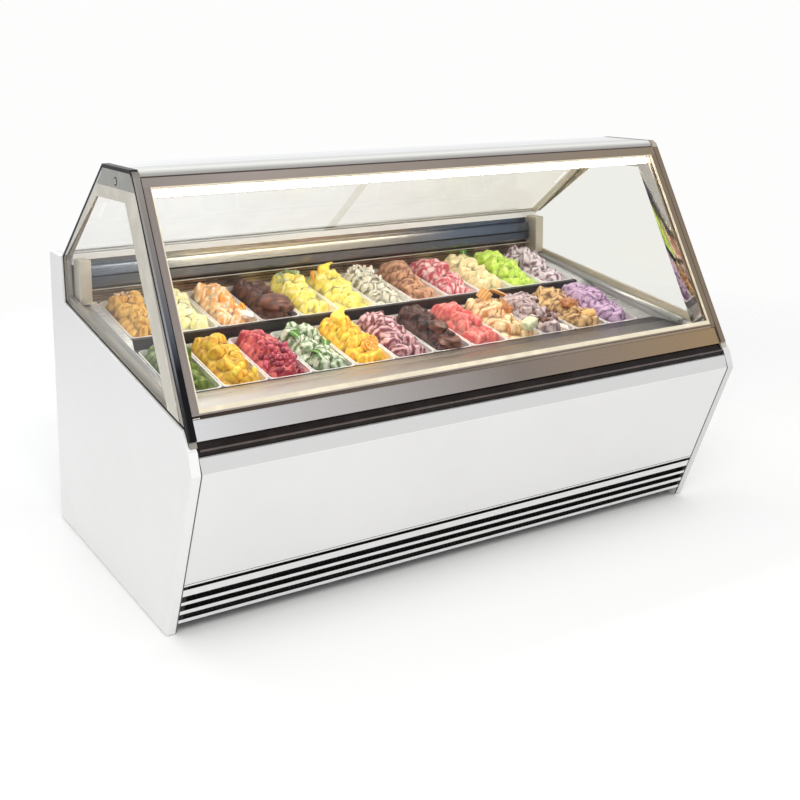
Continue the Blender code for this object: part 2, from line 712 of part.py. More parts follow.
def switches():
    middle = sum(CONTROL_Z) / 2
    pivot = PANEL_FACE + 0.001
    lean = 0.0024
    rocker = [
        (-0.0070, -ROCKER_HALF + 0.001), (-0.0070, ROCKER_HALF - 0.001), (0.0035 + lean, ROCKER_HALF),
        (0.0035, 0.0), (0.0035 + lean, -ROCKER_HALF),
    ]
    red, green = (0.6, 0.05, 0.03), (0.05, 0.35, 0.1)
    for name, x, colour in (("power_switch", SWITCH_X[0], red), ("light_switch", SWITCH_X[1], green)):
        item = prism(name, rocker, -ROCKER_WIDTH / 2, ROCKER_WIDTH / 2, (colour, 0.3, 0.0))
        item.location = (x, pivot, middle)
        item.rotation_euler = (ROCKER_TILT, 0.0, 0.0)
    for name, x in (("up_button", BUTTON_X[0]), ("down_button", BUTTON_X[1])):
        item = cylinder(name, (0.0, 0.0, 0.0), BUTTON_RADIUS, 0.010, "Y", 16, ((0.75, 0.75, 0.75), 0.4, 0.0))
        item.location = (x, PANEL_FACE + 0.0035, middle - BUTTON_DROP)
        smooth(item)


# ---------------------------------------------------------------- cooling
def comb(low, high, depth, height, fins, base, look=None, name="comb"):
    """A finned block: fins stand on a base plate, spread between two x positions."""
    pitch = (high - low) / fins
    fin = pitch * 0.45
    line = [(low, height[0])]
    for k in range(fins):
        start = low + k * pitch
        line += [(start, height[1]), (start + fin, height[1])]
        if k < fins - 1:
            line += [(start + fin, height[0] + base), (start + pitch, height[0] + base)]
    line.append((low + (fins - 1) * pitch + fin, height[0]))
    return prism(name, line, depth[0], depth[1], look, "Y")


def fan_rotor(name, centre, radius, hub, depth, blades, look):
    """A bladed rotor on the Y axis; the object's origin is on its shaft."""
    bm = bmesh.new()
    bmesh.ops.create_cone(bm, cap_ends=True, segments=20, radius1=hub, radius2=hub * 0.92, depth=depth)
    bmesh.ops.rotate(bm, matrix=Matrix.Rotation(math.pi / 2, 3, "X"), verts=bm.verts)
    rotor = new_object(name, bm, look)
    others = []
    for k in range(blades):
        blade = bmesh.new()
        steps = 3
        rings = []
        for s in range(steps + 1):
            share = s / steps
            reach = hub * 0.8 + (radius - hub * 0.8) * share
            twist = math.radians(48.0 - 18.0 * share)
            chord = hub * 0.75 + radius * 0.22 * share
            thick = 0.0016
            ring = []
            for a, b in ((-0.5, -thick), (0.5, -thick), (0.5, thick), (-0.5, thick)):
                across = a * chord * math.cos(twist) - b * math.sin(twist)
                along = a * chord * math.sin(twist) + b * math.cos(twist)
                ring.append(blade.verts.new((across, along, reach)))
            rings.append(ring)
        for ring, following in zip(rings, rings[1:]):
            for i in range(4):
                j = (i + 1) % 4
                blade.faces.new((ring[i], ring[j], following[j], following[i]))
        blade.faces.new(rings[0])
        blade.faces.new(rings[-1])
        turn = Matrix.Rotation(2 * math.pi * k / blades, 3, "Y")
        bmesh.ops.rotate(blade, matrix=turn, verts=blade.verts)
        others.append(new_object("blade", blade))
    join(rotor, *others)
    rotor.location = centre
    return rotor


def shroud(low, high, centre, radius, pod, pod_low, pod_high, name="shroud"):
    """A fan plate with a round hole and a motor pod held on four arms behind it."""
    plate = box(name, low, high)
    y = (low[1] + high[1]) / 2
    cut(plate, cylinder("hole", (centre[0], y, centre[2]), radius, 0.2, "Y", 32))
    reach = radius + 0.006
    arm = 0.006
    arms = []
    for half_x, half_z in ((reach, arm), (arm, reach)):
        near = (centre[0] - half_x, pod_low, centre[2] - half_z)
        arms.append(box("arm", near, (centre[0] + half_x, pod_low + arm, centre[2] + half_z)))
    pod_centre = (centre[0], (pod_low + pod_high) / 2, centre[2])
    join(plate, *arms, cylinder("pod", pod_centre, pod, pod_high - pod_low, "Y", 20))
    return plate


def evaporator():
    """The finned cooling block in the bottom of the tub, with its fan plate, and the fan."""
    look = (ALUMINIUM, 0.4, 0.9)
    coil = comb(-0.900, 0.700, (0.060, 0.262), (0.4515, 0.560), 40, 0.012, look, "evaporator_coil")
    centre = (-0.100, 0.266, 0.552)
    plate = shroud((-0.990, 0.258, 0.4515), (0.990, 0.262, 0.650), centre, 0.088, 0.030, 0.259, 0.272)
    clear_zone = box("clear", (-0.200, 0.215, 0.470), (0.000, 0.2575, 0.640))
    cut(coil, clear_zone)
    join(coil, plate)
    fan_rotor("evaporator_fan", (-0.100, 0.296, 0.552), 0.082, 0.028, 0.030, 5, (BLACK, 0.5, 0.0))


def condenser():
    """The condenser block behind the front grille, with its fan shroud, and the fan."""
    look = (ALUMINIUM, 0.4, 0.9)
    coil = comb(-0.780, -0.340, (-0.330, -0.250), (0.0855, 0.365), 26, 0.012, look, "condenser_coil")
    centre = (-0.560, -0.2, 0.228)
    duct = box("duct", (-0.785, -0.252, 0.0855), (-0.338, -0.160, 0.370))
    cut(duct, box("duct_space", (-0.780, -0.26, 0.0905), (-0.343, -0.166, 0.365)))
    plate = shroud((-0.785, -0.166, 0.0855), (-0.338, -0.160, 0.370), centre, 0.128, 0.034, -0.164, -0.130)
    join(coil, duct, plate)
    fan_rotor("condenser_fan", (-0.560, -0.200, 0.228), 0.120, 0.032, 0.034, 5, (BLACK, 0.5, 0.0))


def compressor():
    """Hermetic compressor: a domed can on a mounting plate."""
    bottom, top, radius = 0.092, 0.330, 0.100
    profile = [(0.0, bottom), (radius * 0.8, bottom), (radius * 0.95, bottom + 0.030)]
    profile += [(radius, bottom + 0.060), (radius + 0.004, 0.215), (radius + 0.004, 0.223), (radius, 0.228)]
    for k in range(1, 5):
        angle = math.radians(22.5 * k)
        profile.append((radius * math.cos(angle) if k < 4 else 0.0, 0.268 + (top - 0.268) * math.sin(angle)))
    bm = bmesh.new()
    verts = [bm.verts.new((r, 0.0, z)) for r, z in profile]
    edges = [bm.edges.new(pair) for pair in zip(verts, verts[1:])]
    bmesh.ops.spin(
        bm, geom=verts + edges, cent=(0, 0, 0), axis=(0, 0, 1), angle=2 * math.pi, steps=24, use_merge=True
    )
    bmesh.ops.remove_doubles(bm, verts=bm.verts, dist=0.00001)
    can = new_object("compressor", bm, (BLACK, 0.35, 0.3))
    for vertex in can.data.vertices:
        vertex.co += Vector((0.350, 0.120, 0.0))
    plate = box("plate", (0.230, -0.000, 0.0855), (0.470, 0.240, 0.0945))
    neck = cylinder("neck", (0.350, 0.120, 0.0935), 0.070, 0.010, "Z", 20)
    join(can, plate, neck)
    smooth(can)


def build():
    clear_scene()
    side_panels()
    base_frame()
    front_panels()
    bumper_and_fascia()
    insulated_tub()
    pan_deck()
    middle_pan_rail()
    rear_air_panel()
    rear_worktop()
    top_rail()
    led_lamp()
    end_frames()
    glass_lock()
    front_glass()
    rear_doors()
    pans()
    rear_panel()
    control_panel()
    switches()
    evaporator()
    condenser()
    compressor()


build()
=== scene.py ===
"""Looks for the ice cream dipping cabinet: materials, trim, glass, ice cream, light and camera."""

import math
import random

import bmesh
import bpy
import numpy as np
from mathutils import Matrix, Vector


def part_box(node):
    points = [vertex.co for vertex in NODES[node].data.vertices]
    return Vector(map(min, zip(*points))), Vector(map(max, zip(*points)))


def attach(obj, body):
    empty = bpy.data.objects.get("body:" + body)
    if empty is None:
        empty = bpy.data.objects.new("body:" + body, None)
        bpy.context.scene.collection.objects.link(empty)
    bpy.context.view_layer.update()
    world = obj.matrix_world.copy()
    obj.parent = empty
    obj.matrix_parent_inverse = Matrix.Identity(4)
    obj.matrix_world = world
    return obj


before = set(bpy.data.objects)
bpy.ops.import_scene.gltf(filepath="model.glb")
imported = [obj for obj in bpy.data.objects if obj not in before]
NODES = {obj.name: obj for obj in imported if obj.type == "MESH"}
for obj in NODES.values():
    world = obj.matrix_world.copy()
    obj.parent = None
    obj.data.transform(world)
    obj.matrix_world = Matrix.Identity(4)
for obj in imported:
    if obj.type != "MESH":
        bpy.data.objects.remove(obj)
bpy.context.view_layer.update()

# ---------------------------------------------------------------- the cabinet's own lines, (y, z) in metres
TOE = Vector((-0.640, 0.660))
GLASS_FRONT_LOW = Vector((-0.602, 0.7075))
GLASS_REAR_LOW = Vector((0.518, 0.8745))
SHELF_FRONT = Vector((0.531, 1.0455))
LID_REAR = Vector((0.041, 1.420))
LID_FRONT = Vector((-0.219, 1.420))
LID_NOSE = Vector((-0.238, 1.409))
DOOR_FOOT = Vector((-0.646, 0.659))
DOOR_HEAD = Vector((-0.238, 1.410))
DOOR_UP = (DOOR_HEAD - DOOR_FOOT).normalized()
DOOR_OUT = Vector((-DOOR_UP.y, DOOR_UP.x))
REAR_DOWN = (SHELF_FRONT - LID_REAR).normalized()
REAR_OUT = Vector((-REAR_DOWN.y, REAR_DOWN.x))
ROW_TILT = math.radians(10.0)
ROW_FRONTS = {"front": (-0.283, 0.712), "back": (0.118, 0.808)}
PAN_COUNT = 12
PAN_PITCH = 0.16475
END_OUT = 1.0905
END_IN = 1.067
DOOR_HALF = 1.0655
KNEE_HEIGHT = 0.5875
GRILLE_LEAN = -0.4144
GRILLE_SLOTS = ((0.053, 0.021), (0.088, 0.022), (0.122, 0.023), (0.170, 0.013))
GRILLE_FOOT = min(v.co.y - GRILLE_LEAN * v.co.z for v in NODES["louvre_grille"].data.vertices)


def on_door(up, out):
    """(y, z) of a point measured up and out from the foot of the front glass plane."""
    return DOOR_FOOT + DOOR_UP * up + DOOR_OUT * out


def on_rear(down, out):
    """(y, z) of a point measured down and out from the top of the rear slope."""
    return LID_REAR + REAR_DOWN * down + REAR_OUT * out


# ---------------------------------------------------------------- materials
class Look:
    """A Principled material built from object-space patterns."""

    def __init__(self, name, colour, roughness, metallic=0.0, **sockets):
        self.material = bpy.data.materials.new(name)
        self.material.use_nodes = True
        self.tree = self.material.node_tree
        self.shader = self.tree.nodes["Principled BSDF"]
        self.place = self.tree.nodes.new("ShaderNodeTexCoord").outputs["Object"]
        self.set(**{"Base Color": (*colour, 1.0), "Roughness": roughness, "Metallic": metallic})
        self.set(**{key.replace("_", " "): value for key, value in sockets.items()})

    def feed(self, socket, value):
        """Links a node's output to a socket, or gives the socket its own value."""
        if isinstance(value, bpy.types.NodeSocket):
            self.tree.links.new(value, socket)
        elif isinstance(value, tuple) and len(value) == 3 and socket.type == "RGBA":
            socket.default_value = (*value, 1.0)
        else:
            socket.default_value = value

    def set(self, **values):
        for key, value in values.items():
            self.feed(self.shader.inputs[key], value)

    def paint(self, value):
        self.feed(self.shader.inputs["Base Color"], value)

    def node(self, kind, **inputs):
        node = self.tree.nodes.new("ShaderNode" + kind)
        for key, value in inputs.items():
            self.feed(node.inputs[key], value)
        return node

    def noise(self, scale, stretch=(1.0, 1.0, 1.0), detail=3.0, rough=0.5, distortion=0.0):
        where = self.node("Mapping", Vector=self.place, Scale=stretch).outputs[0]
        inputs = {"Vector": where, "Scale": scale, "Detail": detail, "Roughness": rough,
            "Distortion": distortion}
        return self.node("TexNoise", **inputs).outputs["Fac"]

    def range(self, value, low, high, to_low=0.0, to_high=1.0):
        inputs = {"Value": value, "From Min": low, "From Max": high, "To Min": to_low, "To Max": to_high}
        return self.node("MapRange", **inputs).outputs["Result"]

    def ramp(self, value, stops):
        node = self.node("ValToRGB", Fac=value)
        elements = node.color_ramp.elements
        while len(elements) < len(stops):
            elements.new(0.5)
        for element, (position, colour) in zip(elements, stops):
            element.position = position
            element.color = (*colour, 1.0)
        return node.outputs["Color"]

    def mix(self, factor, a, b, mode="MIX"):
        node = self.tree.nodes.new("ShaderNodeMix")
        node.data_type = "RGBA"
        node.blend_type = mode
        for socket, value in ((node.inputs["Factor"], factor), (node.inputs[6], a), (node.inputs[7], b)):
            self.feed(socket, value)
        return node.outputs[2]

    def math(self, operation, a, b=0.0):
        node = self.tree.nodes.new("ShaderNodeMath")
        node.operation = operation
        for socket, value in zip(node.inputs, (a, b)):
            self.feed(socket, value)
        return node.outputs[0]

    def blend(self, share, first, second):
        """Mixes two shaders and sends the result to the surface."""
        node = self.tree.nodes.new("ShaderNodeMixShader")
        for socket, value in zip(node.inputs, (share, first, second)):
            self.feed(socket, value)
        self.tree.links.new(node.outputs[0], self.tree.nodes["Material Output"].inputs["Surface"])
        return node.outputs[0]

    def attribute(self, name):
        node = self.node("Attribute")
        node.attribute_name = name
        return node.outputs["Fac"]

    def axis(self, letter):
        return self.node("SeparateXYZ", Vector=self.place).outputs[letter]

    def bump(self, height, strength, distance):
        under = self.shader.inputs["Normal"]
        node = self.node("Bump", Height=height, Strength=strength, Distance=distance)
        if under.is_linked:
            self.feed(node.inputs["Normal"], under.links[0].from_socket)
        self.set(Normal=node.outputs[0])


def coat_grain(look):
    """The faint orange peel of a sprayed coat, on every white panel."""
    look.bump(look.noise(500.0, detail=1.0), 0.03, 0.0003)
    return look.material


def powder_coat(name, colour, roughness=0.24):
    look = Look(name, colour, roughness, Coat_Weight=0.35, Coat_Roughness=0.08)
    cloud = look.noise(3.0, detail=2.0)
    tint = tuple(c * 0.985 for c in colour)
    look.paint(look.mix(look.range(cloud, 0.35, 0.65), tint, colour))
    wipe = look.noise(9.0, (1.0, 1.0, 4.0), 4.0, 0.6)
    look.set(Roughness=look.range(wipe, 0.3, 0.7, roughness - 0.02, roughness + 0.03))
    return coat_grain(look)


def brushed_metal(
    name, colour, roughness=0.3, metallic=1.0, along="X", streak=0.10, tone=0.10, tones=(), axis="X",
):
    """Metal with fine lines along an axis; tones lists (place, colour) where its colour changes."""
    look = Look(name, colour, roughness, metallic)
    stretch = {"X": (0.012, 1.0, 1.0), "Y": (1.0, 0.012, 1.0), "Z": (1.0, 1.0, 0.012)}[along]
    lines = look.noise(900.0, stretch, 2.0, 0.7)
    patches = look.noise(6.0, tuple(max(s, 0.1) for s in stretch), 3.0)
    base = colour
    if tones:
        low, high = tones[0][0], tones[-1][0]
        stops = [((place - low) / (high - low), tint) for place, tint in tones]
        base = look.ramp(look.range(look.axis(axis), low, high), stops)
    dark = look.mix(1.0, base, (1.0 - tone,) * 3, "MULTIPLY")
    look.paint(look.mix(look.range(lines, 0.3, 0.7), dark, base))
    rough = look.range(lines, 0.3, 0.7, roughness - streak / 2, roughness + streak / 2)
    look.set(Roughness=look.math("ADD", rough, look.range(patches, 0.3, 0.7, -0.04, 0.04)))
    look.bump(lines, 0.10, 0.0002)
    return look.material


def moulded(name, colour, roughness=0.45, grain=1400.0, strength=0.15, **sockets):
    look = Look(name, colour, roughness, **sockets)
    dust = look.noise(14.0, detail=4.0)
    lighter = tuple(min(1.0, c * 1.25 + 0.01) for c in colour)
    look.paint(look.mix(look.range(dust, 0.45, 0.75), colour, lighter))
    look.set(Roughness=look.range(dust, 0.3, 0.7, roughness - 0.06, roughness + 0.08))
    look.bump(look.noise(grain, detail=1.0), strength, 0.0003)
    return look.material


def clear_pane(name, tint, reflect=1.22, haze=0.0, far_shade_tint=None):
    """Thin clear sheet: what lies behind shows through unbent, with a Fresnel reflection on top."""
    look = Look(name, tint, 0.0)
    look.tree.nodes.remove(look.shader)
    through = look.node("BsdfTransparent", Color=tint)
    # Painted shade: a far tint darkens and warms what shows through towards +x.
    if far_shade_tint:
        across = look.range(look.axis("X"), -0.6, 1.0)
        look.feed(through.inputs["Color"], look.mix(across, tint, far_shade_tint))
    gloss = look.node("BsdfGlossy", Roughness=0.01)
    facing = look.math("SUBTRACT", 1.0, look.node("NewGeometry").outputs["Backfacing"])
    share = look.math("MULTIPLY", look.node("Fresnel", IOR=reflect).outputs[0], facing)
    sheet = look.blend(share, through.outputs[0], gloss.outputs[0])
    if haze:
        smear = look.range(look.noise(5.0, detail=5.0), 0.4, 0.8, 0.0, haze)
        look.blend(smear, sheet, look.node("BsdfDiffuse").outputs[0])
    return look.material


WHITE = powder_coat("white_powder_coat", (0.80, 0.795, 0.785))
WHITE_SHELF = powder_coat("white_worktop", (0.80, 0.80, 0.79), 0.3)


def front_panel_look():
    """White coat; the folded band along the top of the front panel is painted greyer than its flat face, as
    painted shade.
    """
    look = Look("white_front_panel", (0.76, 0.755, 0.745), 0.26, Coat_Weight=0.35, Coat_Roughness=0.08)
    cloud = look.range(look.noise(3.0, detail=2.0), 0.35, 0.65)
    flat = look.mix(cloud, (0.745, 0.74, 0.73), (0.765, 0.76, 0.75))
    # Painted shade: the band above the knee goes grey.
    fold_shade = look.range(look.axis("Z"), KNEE_HEIGHT, KNEE_HEIGHT + 0.002)
    look.paint(look.mix(fold_shade, flat, (0.57, 0.57, 0.565)))
    return coat_grain(look)


def grille_look():
    """White coat outside; the insides of the slots and the set-back faces where they run out to the ends
    are painted black as shade.
    """
    look = Look("white_grille", (0.76, 0.755, 0.745), 0.28, Coat_Weight=0.3, Coat_Roughness=0.1)
    height = look.axis("Z")
    lean = look.math("MULTIPLY", height, GRILLE_LEAN)
    depth = look.math("SUBTRACT", look.math("SUBTRACT", look.axis("Y"), GRILLE_FOOT), lean)
    # Painted shade: faces set back from the grille's front and the slots' insides go near-black.
    dark = look.math("GREATER_THAN", depth, 0.0006)
    for low, tall in GRILLE_SLOTS:
        above = look.math("GREATER_THAN", height, low)
        below = look.math("LESS_THAN", height, low + tall)
        dark = look.math("MAXIMUM", dark, look.math("MULTIPLY", above, below))
    cloud = look.range(look.noise(4.0, detail=2.0), 0.35, 0.65)
    white = look.mix(cloud, (0.745, 0.74, 0.73), (0.765, 0.76, 0.75))
    look.paint(look.mix(dark, white, (0.004, 0.004, 0.004)))
    look.set(Roughness=look.range(dark, 0.0, 1.0, 0.28, 0.75))
    look.set(**{"Coat Weight": look.range(dark, 0.0, 1.0, 0.3, 0.0)})
    return coat_grain(look)


def side_panel_look():
    """Gloss white; the narrow front edge of the panel is painted greyer than its face, as painted shade on
    the faces that look forward.
    """
    look = Look("white_side_panel", (0.80, 0.795, 0.785), 0.24, Coat_Weight=0.35, Coat_Roughness=0.06)
    facing = look.tree.nodes.new("ShaderNodeNewGeometry").outputs["Normal"]
    forward = look.node("SeparateXYZ", Vector=facing).outputs["Y"]
    # Painted shade: forward-facing faces go grey.
    edge = look.range(forward, -0.5, -0.7)
    cloud = look.range(look.noise(3.0, detail=2.0), 0.35, 0.65)
    face = look.mix(cloud, (0.785, 0.78, 0.77), (0.805, 0.80, 0.79))
    look.paint(look.mix(edge, face, (0.62, 0.62, 0.615)))
    return coat_grain(look)


WHITE_FRONT = front_panel_look()
WHITE_GRILLE = grille_look()
WHITE_SIDE_EDGE_SHADED = side_panel_look()
# Painted reflection: the champagne frame runs from lighter near the left end to bronze at the right.
CHAMPAGNE_REFLECTION_TONES = [(-1.09, (0.40, 0.35, 0.32)), (-0.7, (0.50, 0.43, 0.38)), (0.2, (0.37, 0.31, 0.26)),
    (1.09, (0.36, 0.28, 0.20))]
CHAMPAGNE = brushed_metal("champagne_aluminium", (0.42, 0.36, 0.31), 0.36, 0.85, tones=CHAMPAGNE_REFLECTION_TONES)
# Painted reflection and shade on the end frames, one copy per end: the left darkens upwards to black at its
# top edge, the right is lighter and browner.
END_LEFT_REFLECTION_TONES = [(1.380, (0.42, 0.39, 0.34)), (1.412, (0.30, 0.28, 0.25)), (1.4165, (0.01, 0.01, 0.01)),
    (1.42, (0.01, 0.01, 0.01))]
END_LEFT = brushed_metal("end_frame_left", (0.42, 0.39, 0.34), 0.36, 0.75, "Y", tones=END_LEFT_REFLECTION_TONES, axis="Z")
END_RIGHT_REFLECTION_TONES = [(1.380, (0.66, 0.60, 0.47)), (1.4165, (0.50, 0.45, 0.36)), (1.42, (0.30, 0.28, 0.24))]
END_RIGHT = brushed_metal("end_frame_right", (0.66, 0.60, 0.47), 0.4, 0.6, "Y", tones=END_RIGHT_REFLECTION_TONES,
    axis="Z")
# Painted reflection: the fascia runs from near-white at the left end to brown at the right.
FASCIA_REFLECTION_TONES = [(-1.09, (0.98, 0.97, 0.97)), (-0.7, (0.72, 0.69, 0.67)), (0.1, (0.33, 0.275, 0.24)),
    (1.09, (0.47, 0.32, 0.175))]
FASCIA = brushed_metal("fascia_aluminium", (0.50, 0.45, 0.42), 0.30, tones=FASCIA_REFLECTION_TONES, streak=0.05,
    tone=0.04)
LID = brushed_metal("lid_aluminium", (0.86, 0.87, 0.85), 0.34, 0.55, streak=0.05, tone=0.05)
# Painted highlight and shade across the lid: a grey nose, then near-white bands of painted highlight over
# the top.
LID_HIGHLIGHT_AND_SHADE_TONES = [(-0.238, (0.36, 0.35, 0.33)), (-0.222, (0.86, 0.86, 0.82)), (-0.128, (0.80, 0.80, 0.76)),
    (-0.118, (1.0, 1.0, 1.0)),
             (-0.085, (1.0, 1.0, 1.0)), (-0.068, (0.84, 0.85, 0.84)), (-0.050, (1.0, 1.0, 1.0)),
             (0.041, (1.0, 1.0, 1.0))]
LID_TOP = brushed_metal("lid_top_aluminium", (0.8, 0.8, 0.8), 0.40, 0.20, streak=0.04, tone=0.03,
    tones=LID_HIGHLIGHT_AND_SHADE_TONES, axis="Y")
DECK = brushed_metal("deck_steel", (0.84, 0.84, 0.83), 0.28, 0.55, tone=0.04)
RISER = brushed_metal("riser_steel", (0.085, 0.078, 0.078), 0.34, 0.8, streak=0.05)
# Painted sheen: the pan steel is near-white and partly diffuse, standing for the bright sheen of the rims.
PAN_PAINTED_SHEEN = brushed_metal("pan_steel", (0.93, 0.915, 0.895), 0.30, 0.45, along="Y", streak=0.06, tone=0.03)
# Painted reflection on the rear air panel: warm brown below, grey above, with a dark band of painted shade
# at the return edge.
AIR_REFLECTION_AND_SHADE_TONES = [(0.875, (0.46, 0.38, 0.30)), (0.905, (0.34, 0.26, 0.20)), (0.914, (0.12, 0.085, 0.07)),
    (0.921, (0.16, 0.13, 0.11)),
             (0.935, (0.36, 0.34, 0.33))]
AIR = brushed_metal("air_panel_steel", (0.30, 0.28, 0.25), 0.22, 0.85, tones=AIR_REFLECTION_AND_SHADE_TONES, streak=0.04,
    tone=0.05, axis="Z")
FINS = brushed_metal("fin_aluminium", (0.66, 0.67, 0.68), 0.38, along="Z")
CHASSIS = brushed_metal("chassis_steel", (0.30, 0.31, 0.32), 0.42, metallic=0.9)
BUMPER = moulded("bumper_plastic", (0.007, 0.003, 0.0025), 0.22, 300.0, 0.02, Specular_IOR_Level=0.22)
LINER = moulded("tub_liner", (0.80, 0.80, 0.79), 0.4)
DARK = moulded("dark_plastic", (0.02, 0.02, 0.022), 0.5)
PANEL_BLACK = moulded("panel_black", (0.045, 0.045, 0.05), 0.42)
CAN = moulded("compressor_paint", (0.02, 0.02, 0.022), 0.32, 500.0, 0.1, Coat_Weight=0.3)
RED = moulded("switch_red", (0.55, 0.04, 0.03), 0.25, 900.0, 0.05)
GREEN = moulded("switch_green", (0.05, 0.34, 0.10), 0.25, 900.0, 0.05)
KEY = moulded("key_grey", (0.55, 0.56, 0.57), 0.5)
CHROME = brushed_metal("lock_chrome", (0.80, 0.80, 0.80), 0.12, streak=0.04, tone=0.04)
PANE = clear_pane("pane_glass", (0.994, 0.994, 0.988))
# Painted shade: the right end pane is a darker copy of the pane glass.
PANE_RIGHT_SHADED = clear_pane("pane_glass_right_shaded", (0.945, 0.945, 0.925))
# The rear doors' far tint is painted shade, darker and warmer towards the right end.
ACRYLIC = clear_pane("door_acrylic", (0.998, 0.998, 0.990), 1.30, 0.07, (0.930, 0.912, 0.860))


def lamp_look(name, colour, strength):
    look = Look(name, colour, 0.4, Emission_Color=(*colour, 1.0), Emission_Strength=strength)
    ripple = look.noise(60.0, (0.3, 1.0, 1.0), 1.0)
    look.bump(ripple, 0.05, 0.0005)
    return look.material


LED = lamp_look("led_diffuser", (1.0, 0.955, 0.86), 17.0)

CAD_LOOKS = {
    WHITE: ("left_side_panel", "rear_panel"),
    WHITE_SIDE_EDGE_SHADED: ("right_side_panel",),
    WHITE_FRONT: ("front_panel",),
    WHITE_GRILLE: ("louvre_grille",),
    WHITE_SHELF: ("rear_worktop",),
    CHAMPAGNE: ("front_glass_frame",),
    END_LEFT: ("left_end_frame",),
    END_RIGHT: ("right_end_frame",),
    FASCIA: ("front_fascia",),
    LID_TOP: ("top_rail",),
    DECK: ("pan_deck",),
    RISER: ("middle_pan_rail",),
    AIR: ("rear_air_panel",),
    FINS: ("evaporator_coil", "condenser_coil"),
    CHASSIS: ("base_frame",),
    BUMPER: ("bumper_rail",),
    LINER: ("insulated_tub",),
    DARK: ("evaporator_fan", "condenser_fan"),
    PANEL_BLACK: ("control_panel",),
    CAN: ("compressor",),
    RED: ("power_switch",),
    GREEN: ("light_switch",),
    KEY: ("up_button", "down_button"),
    CHROME: ("glass_lock", "left_hinge_pin", "right_hinge_pin"),
    PANE: ("front_glass", "left_end_glass"),
    PANE_RIGHT_SHADED: ("right_end_glass",),
    ACRYLIC: ("left_rear_door", "right_rear_door"),
    LED: ("led_lamp",),
    PAN_PAINTED_SHEEN: tuple(f"{row}_pan_{k + 1:02d}" for row in ROW_FRONTS for k in range(PAN_COUNT)),
}


def dress(item, material):
    item.data.materials.clear()
    item.data.materials.append(material)


for cad_look, cad_names in CAD_LOOKS.items():
    for node_name in cad_names:
        dress(NODES[node_name], cad_look)


# ---------------------------------------------------------------- piece helpers
def add_object(name, data):
    item = bpy.data.objects.new(name, data)
    bpy.context.scene.collection.objects.link(item)
    return item


def finish_piece(item, material, body="cabinet", smooth_angle=35.0):
    """Gives a new piece its material and the body it rides on."""
    dress(item, material)
    item.data.shade_smooth()
    item.data.set_sharp_from_angle(angle=math.radians(smooth_angle))
    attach(item, body)
    return item


def from_bmesh(name, bm):
    bmesh.ops.recalc_face_normals(bm, faces=bm.faces)
    mesh = bpy.data.meshes.new(name)
    bm.to_mesh(mesh)
    bm.free()
    return add_object(name, mesh)


def skinned(name, rings, closed=False):
    """A mesh over rings of points; closed joins the last ring to the first, else both ends are filled."""
    bm = bmesh.new()
    made = [[bm.verts.new(point) for point in ring] for ring in rings]
    pairs = list(zip(made, made[1:]))
    if closed:
        pairs.append((made[-1], made[0]))
    for ring, following in pairs:
        for i in range(len(ring)):
            j = (i + 1) % len(ring)
            bm.faces.new((ring[i], ring[j], following[j], following[i]))
    if not closed:
        bm.faces.new(made[0])
        bm.faces.new(made[-1])
    return from_bmesh(name, bm)


def swept(name, outline, low, high, axis="X"):
    """Extrudes a closed outline along an axis; the outline's numbers are the other two axes in order."""
    order = {"X": (0, 1, 2), "Y": (1, 0, 2), "Z": (1, 2, 0)}[axis]
    rings = []
    for along in (low, high):
        rings.append([tuple((along, p[0], p[1])[k] for k in order) for p in outline])
    return skinned(name, rings)


def box_outline(low_a, low_b, high_a, high_b):
    return [(low_a, low_b), (high_a, low_b), (high_a, high_b), (low_a, high_b)]


def door_outline(up_low, up_high, out, back):
    """A flat bar's section lying along the front glass plane."""
    return [on_door(up_low, out), on_door(up_high, out), on_door(up_high, back), on_door(up_low, back)]


def ring_of(centre, radius, count):
    """Points of a circle in a plane, starting on the first axis."""
    turns = [2.0 * math.pi * k / count for k in range(count)]
    return [(centre[0] + radius * math.cos(a), centre[1] + radius * math.sin(a)) for a in turns]


def rounded(item, width, segments=2):
    """Rounds a piece's edges, with the rounding applied to its mesh."""
    modifier = item.modifiers.new("round", "BEVEL")
    modifier.width = width
    modifier.segments = segments
    modifier.limit_method = "ANGLE"
    modifier.angle_limit = math.radians(30.0)
    graph = bpy.context.evaluated_depsgraph_get()
    mesh = bpy.data.meshes.new_from_object(item.evaluated_get(graph))
    item.modifiers.clear()
    item.data = mesh
    return item


def inset(outline, distances):
    """Moves each edge of an outline to its left by its own distance; edge i leaves point i."""
    count = len(outline)
    lines = []
    for i in range(count):
        start = Vector(outline[i])
        along = (Vector(outline[(i + 1) % count]) - start).normalized()
        lines.append((start + Vector((-along.y, along.x)) * distances[i], along))
    points = []
    for i in range(count):
        p, u = lines[i - 1]
        q, v = lines[i]
        gap = q - p
        points.append(p + u * ((gap.x * v.y - gap.y * v.x) / (u.x * v.y - u.y * v.x)))
    return points


def loop_plate(name, outer, inner, low, high, axis="X"):
    """A flat closed frame between two outlines with the same number of points, thick along an axis."""
    rings = []
    for outline, along in ((outer, low), (outer, high), (inner, high), (inner, low)):
        if axis == "X":
            rings.append([(along, p[0], p[1]) for p in outline])
        else:
            rings.append([(p[0], along, p[1]) for p in outline])
    return skinned(name, rings, closed=True)


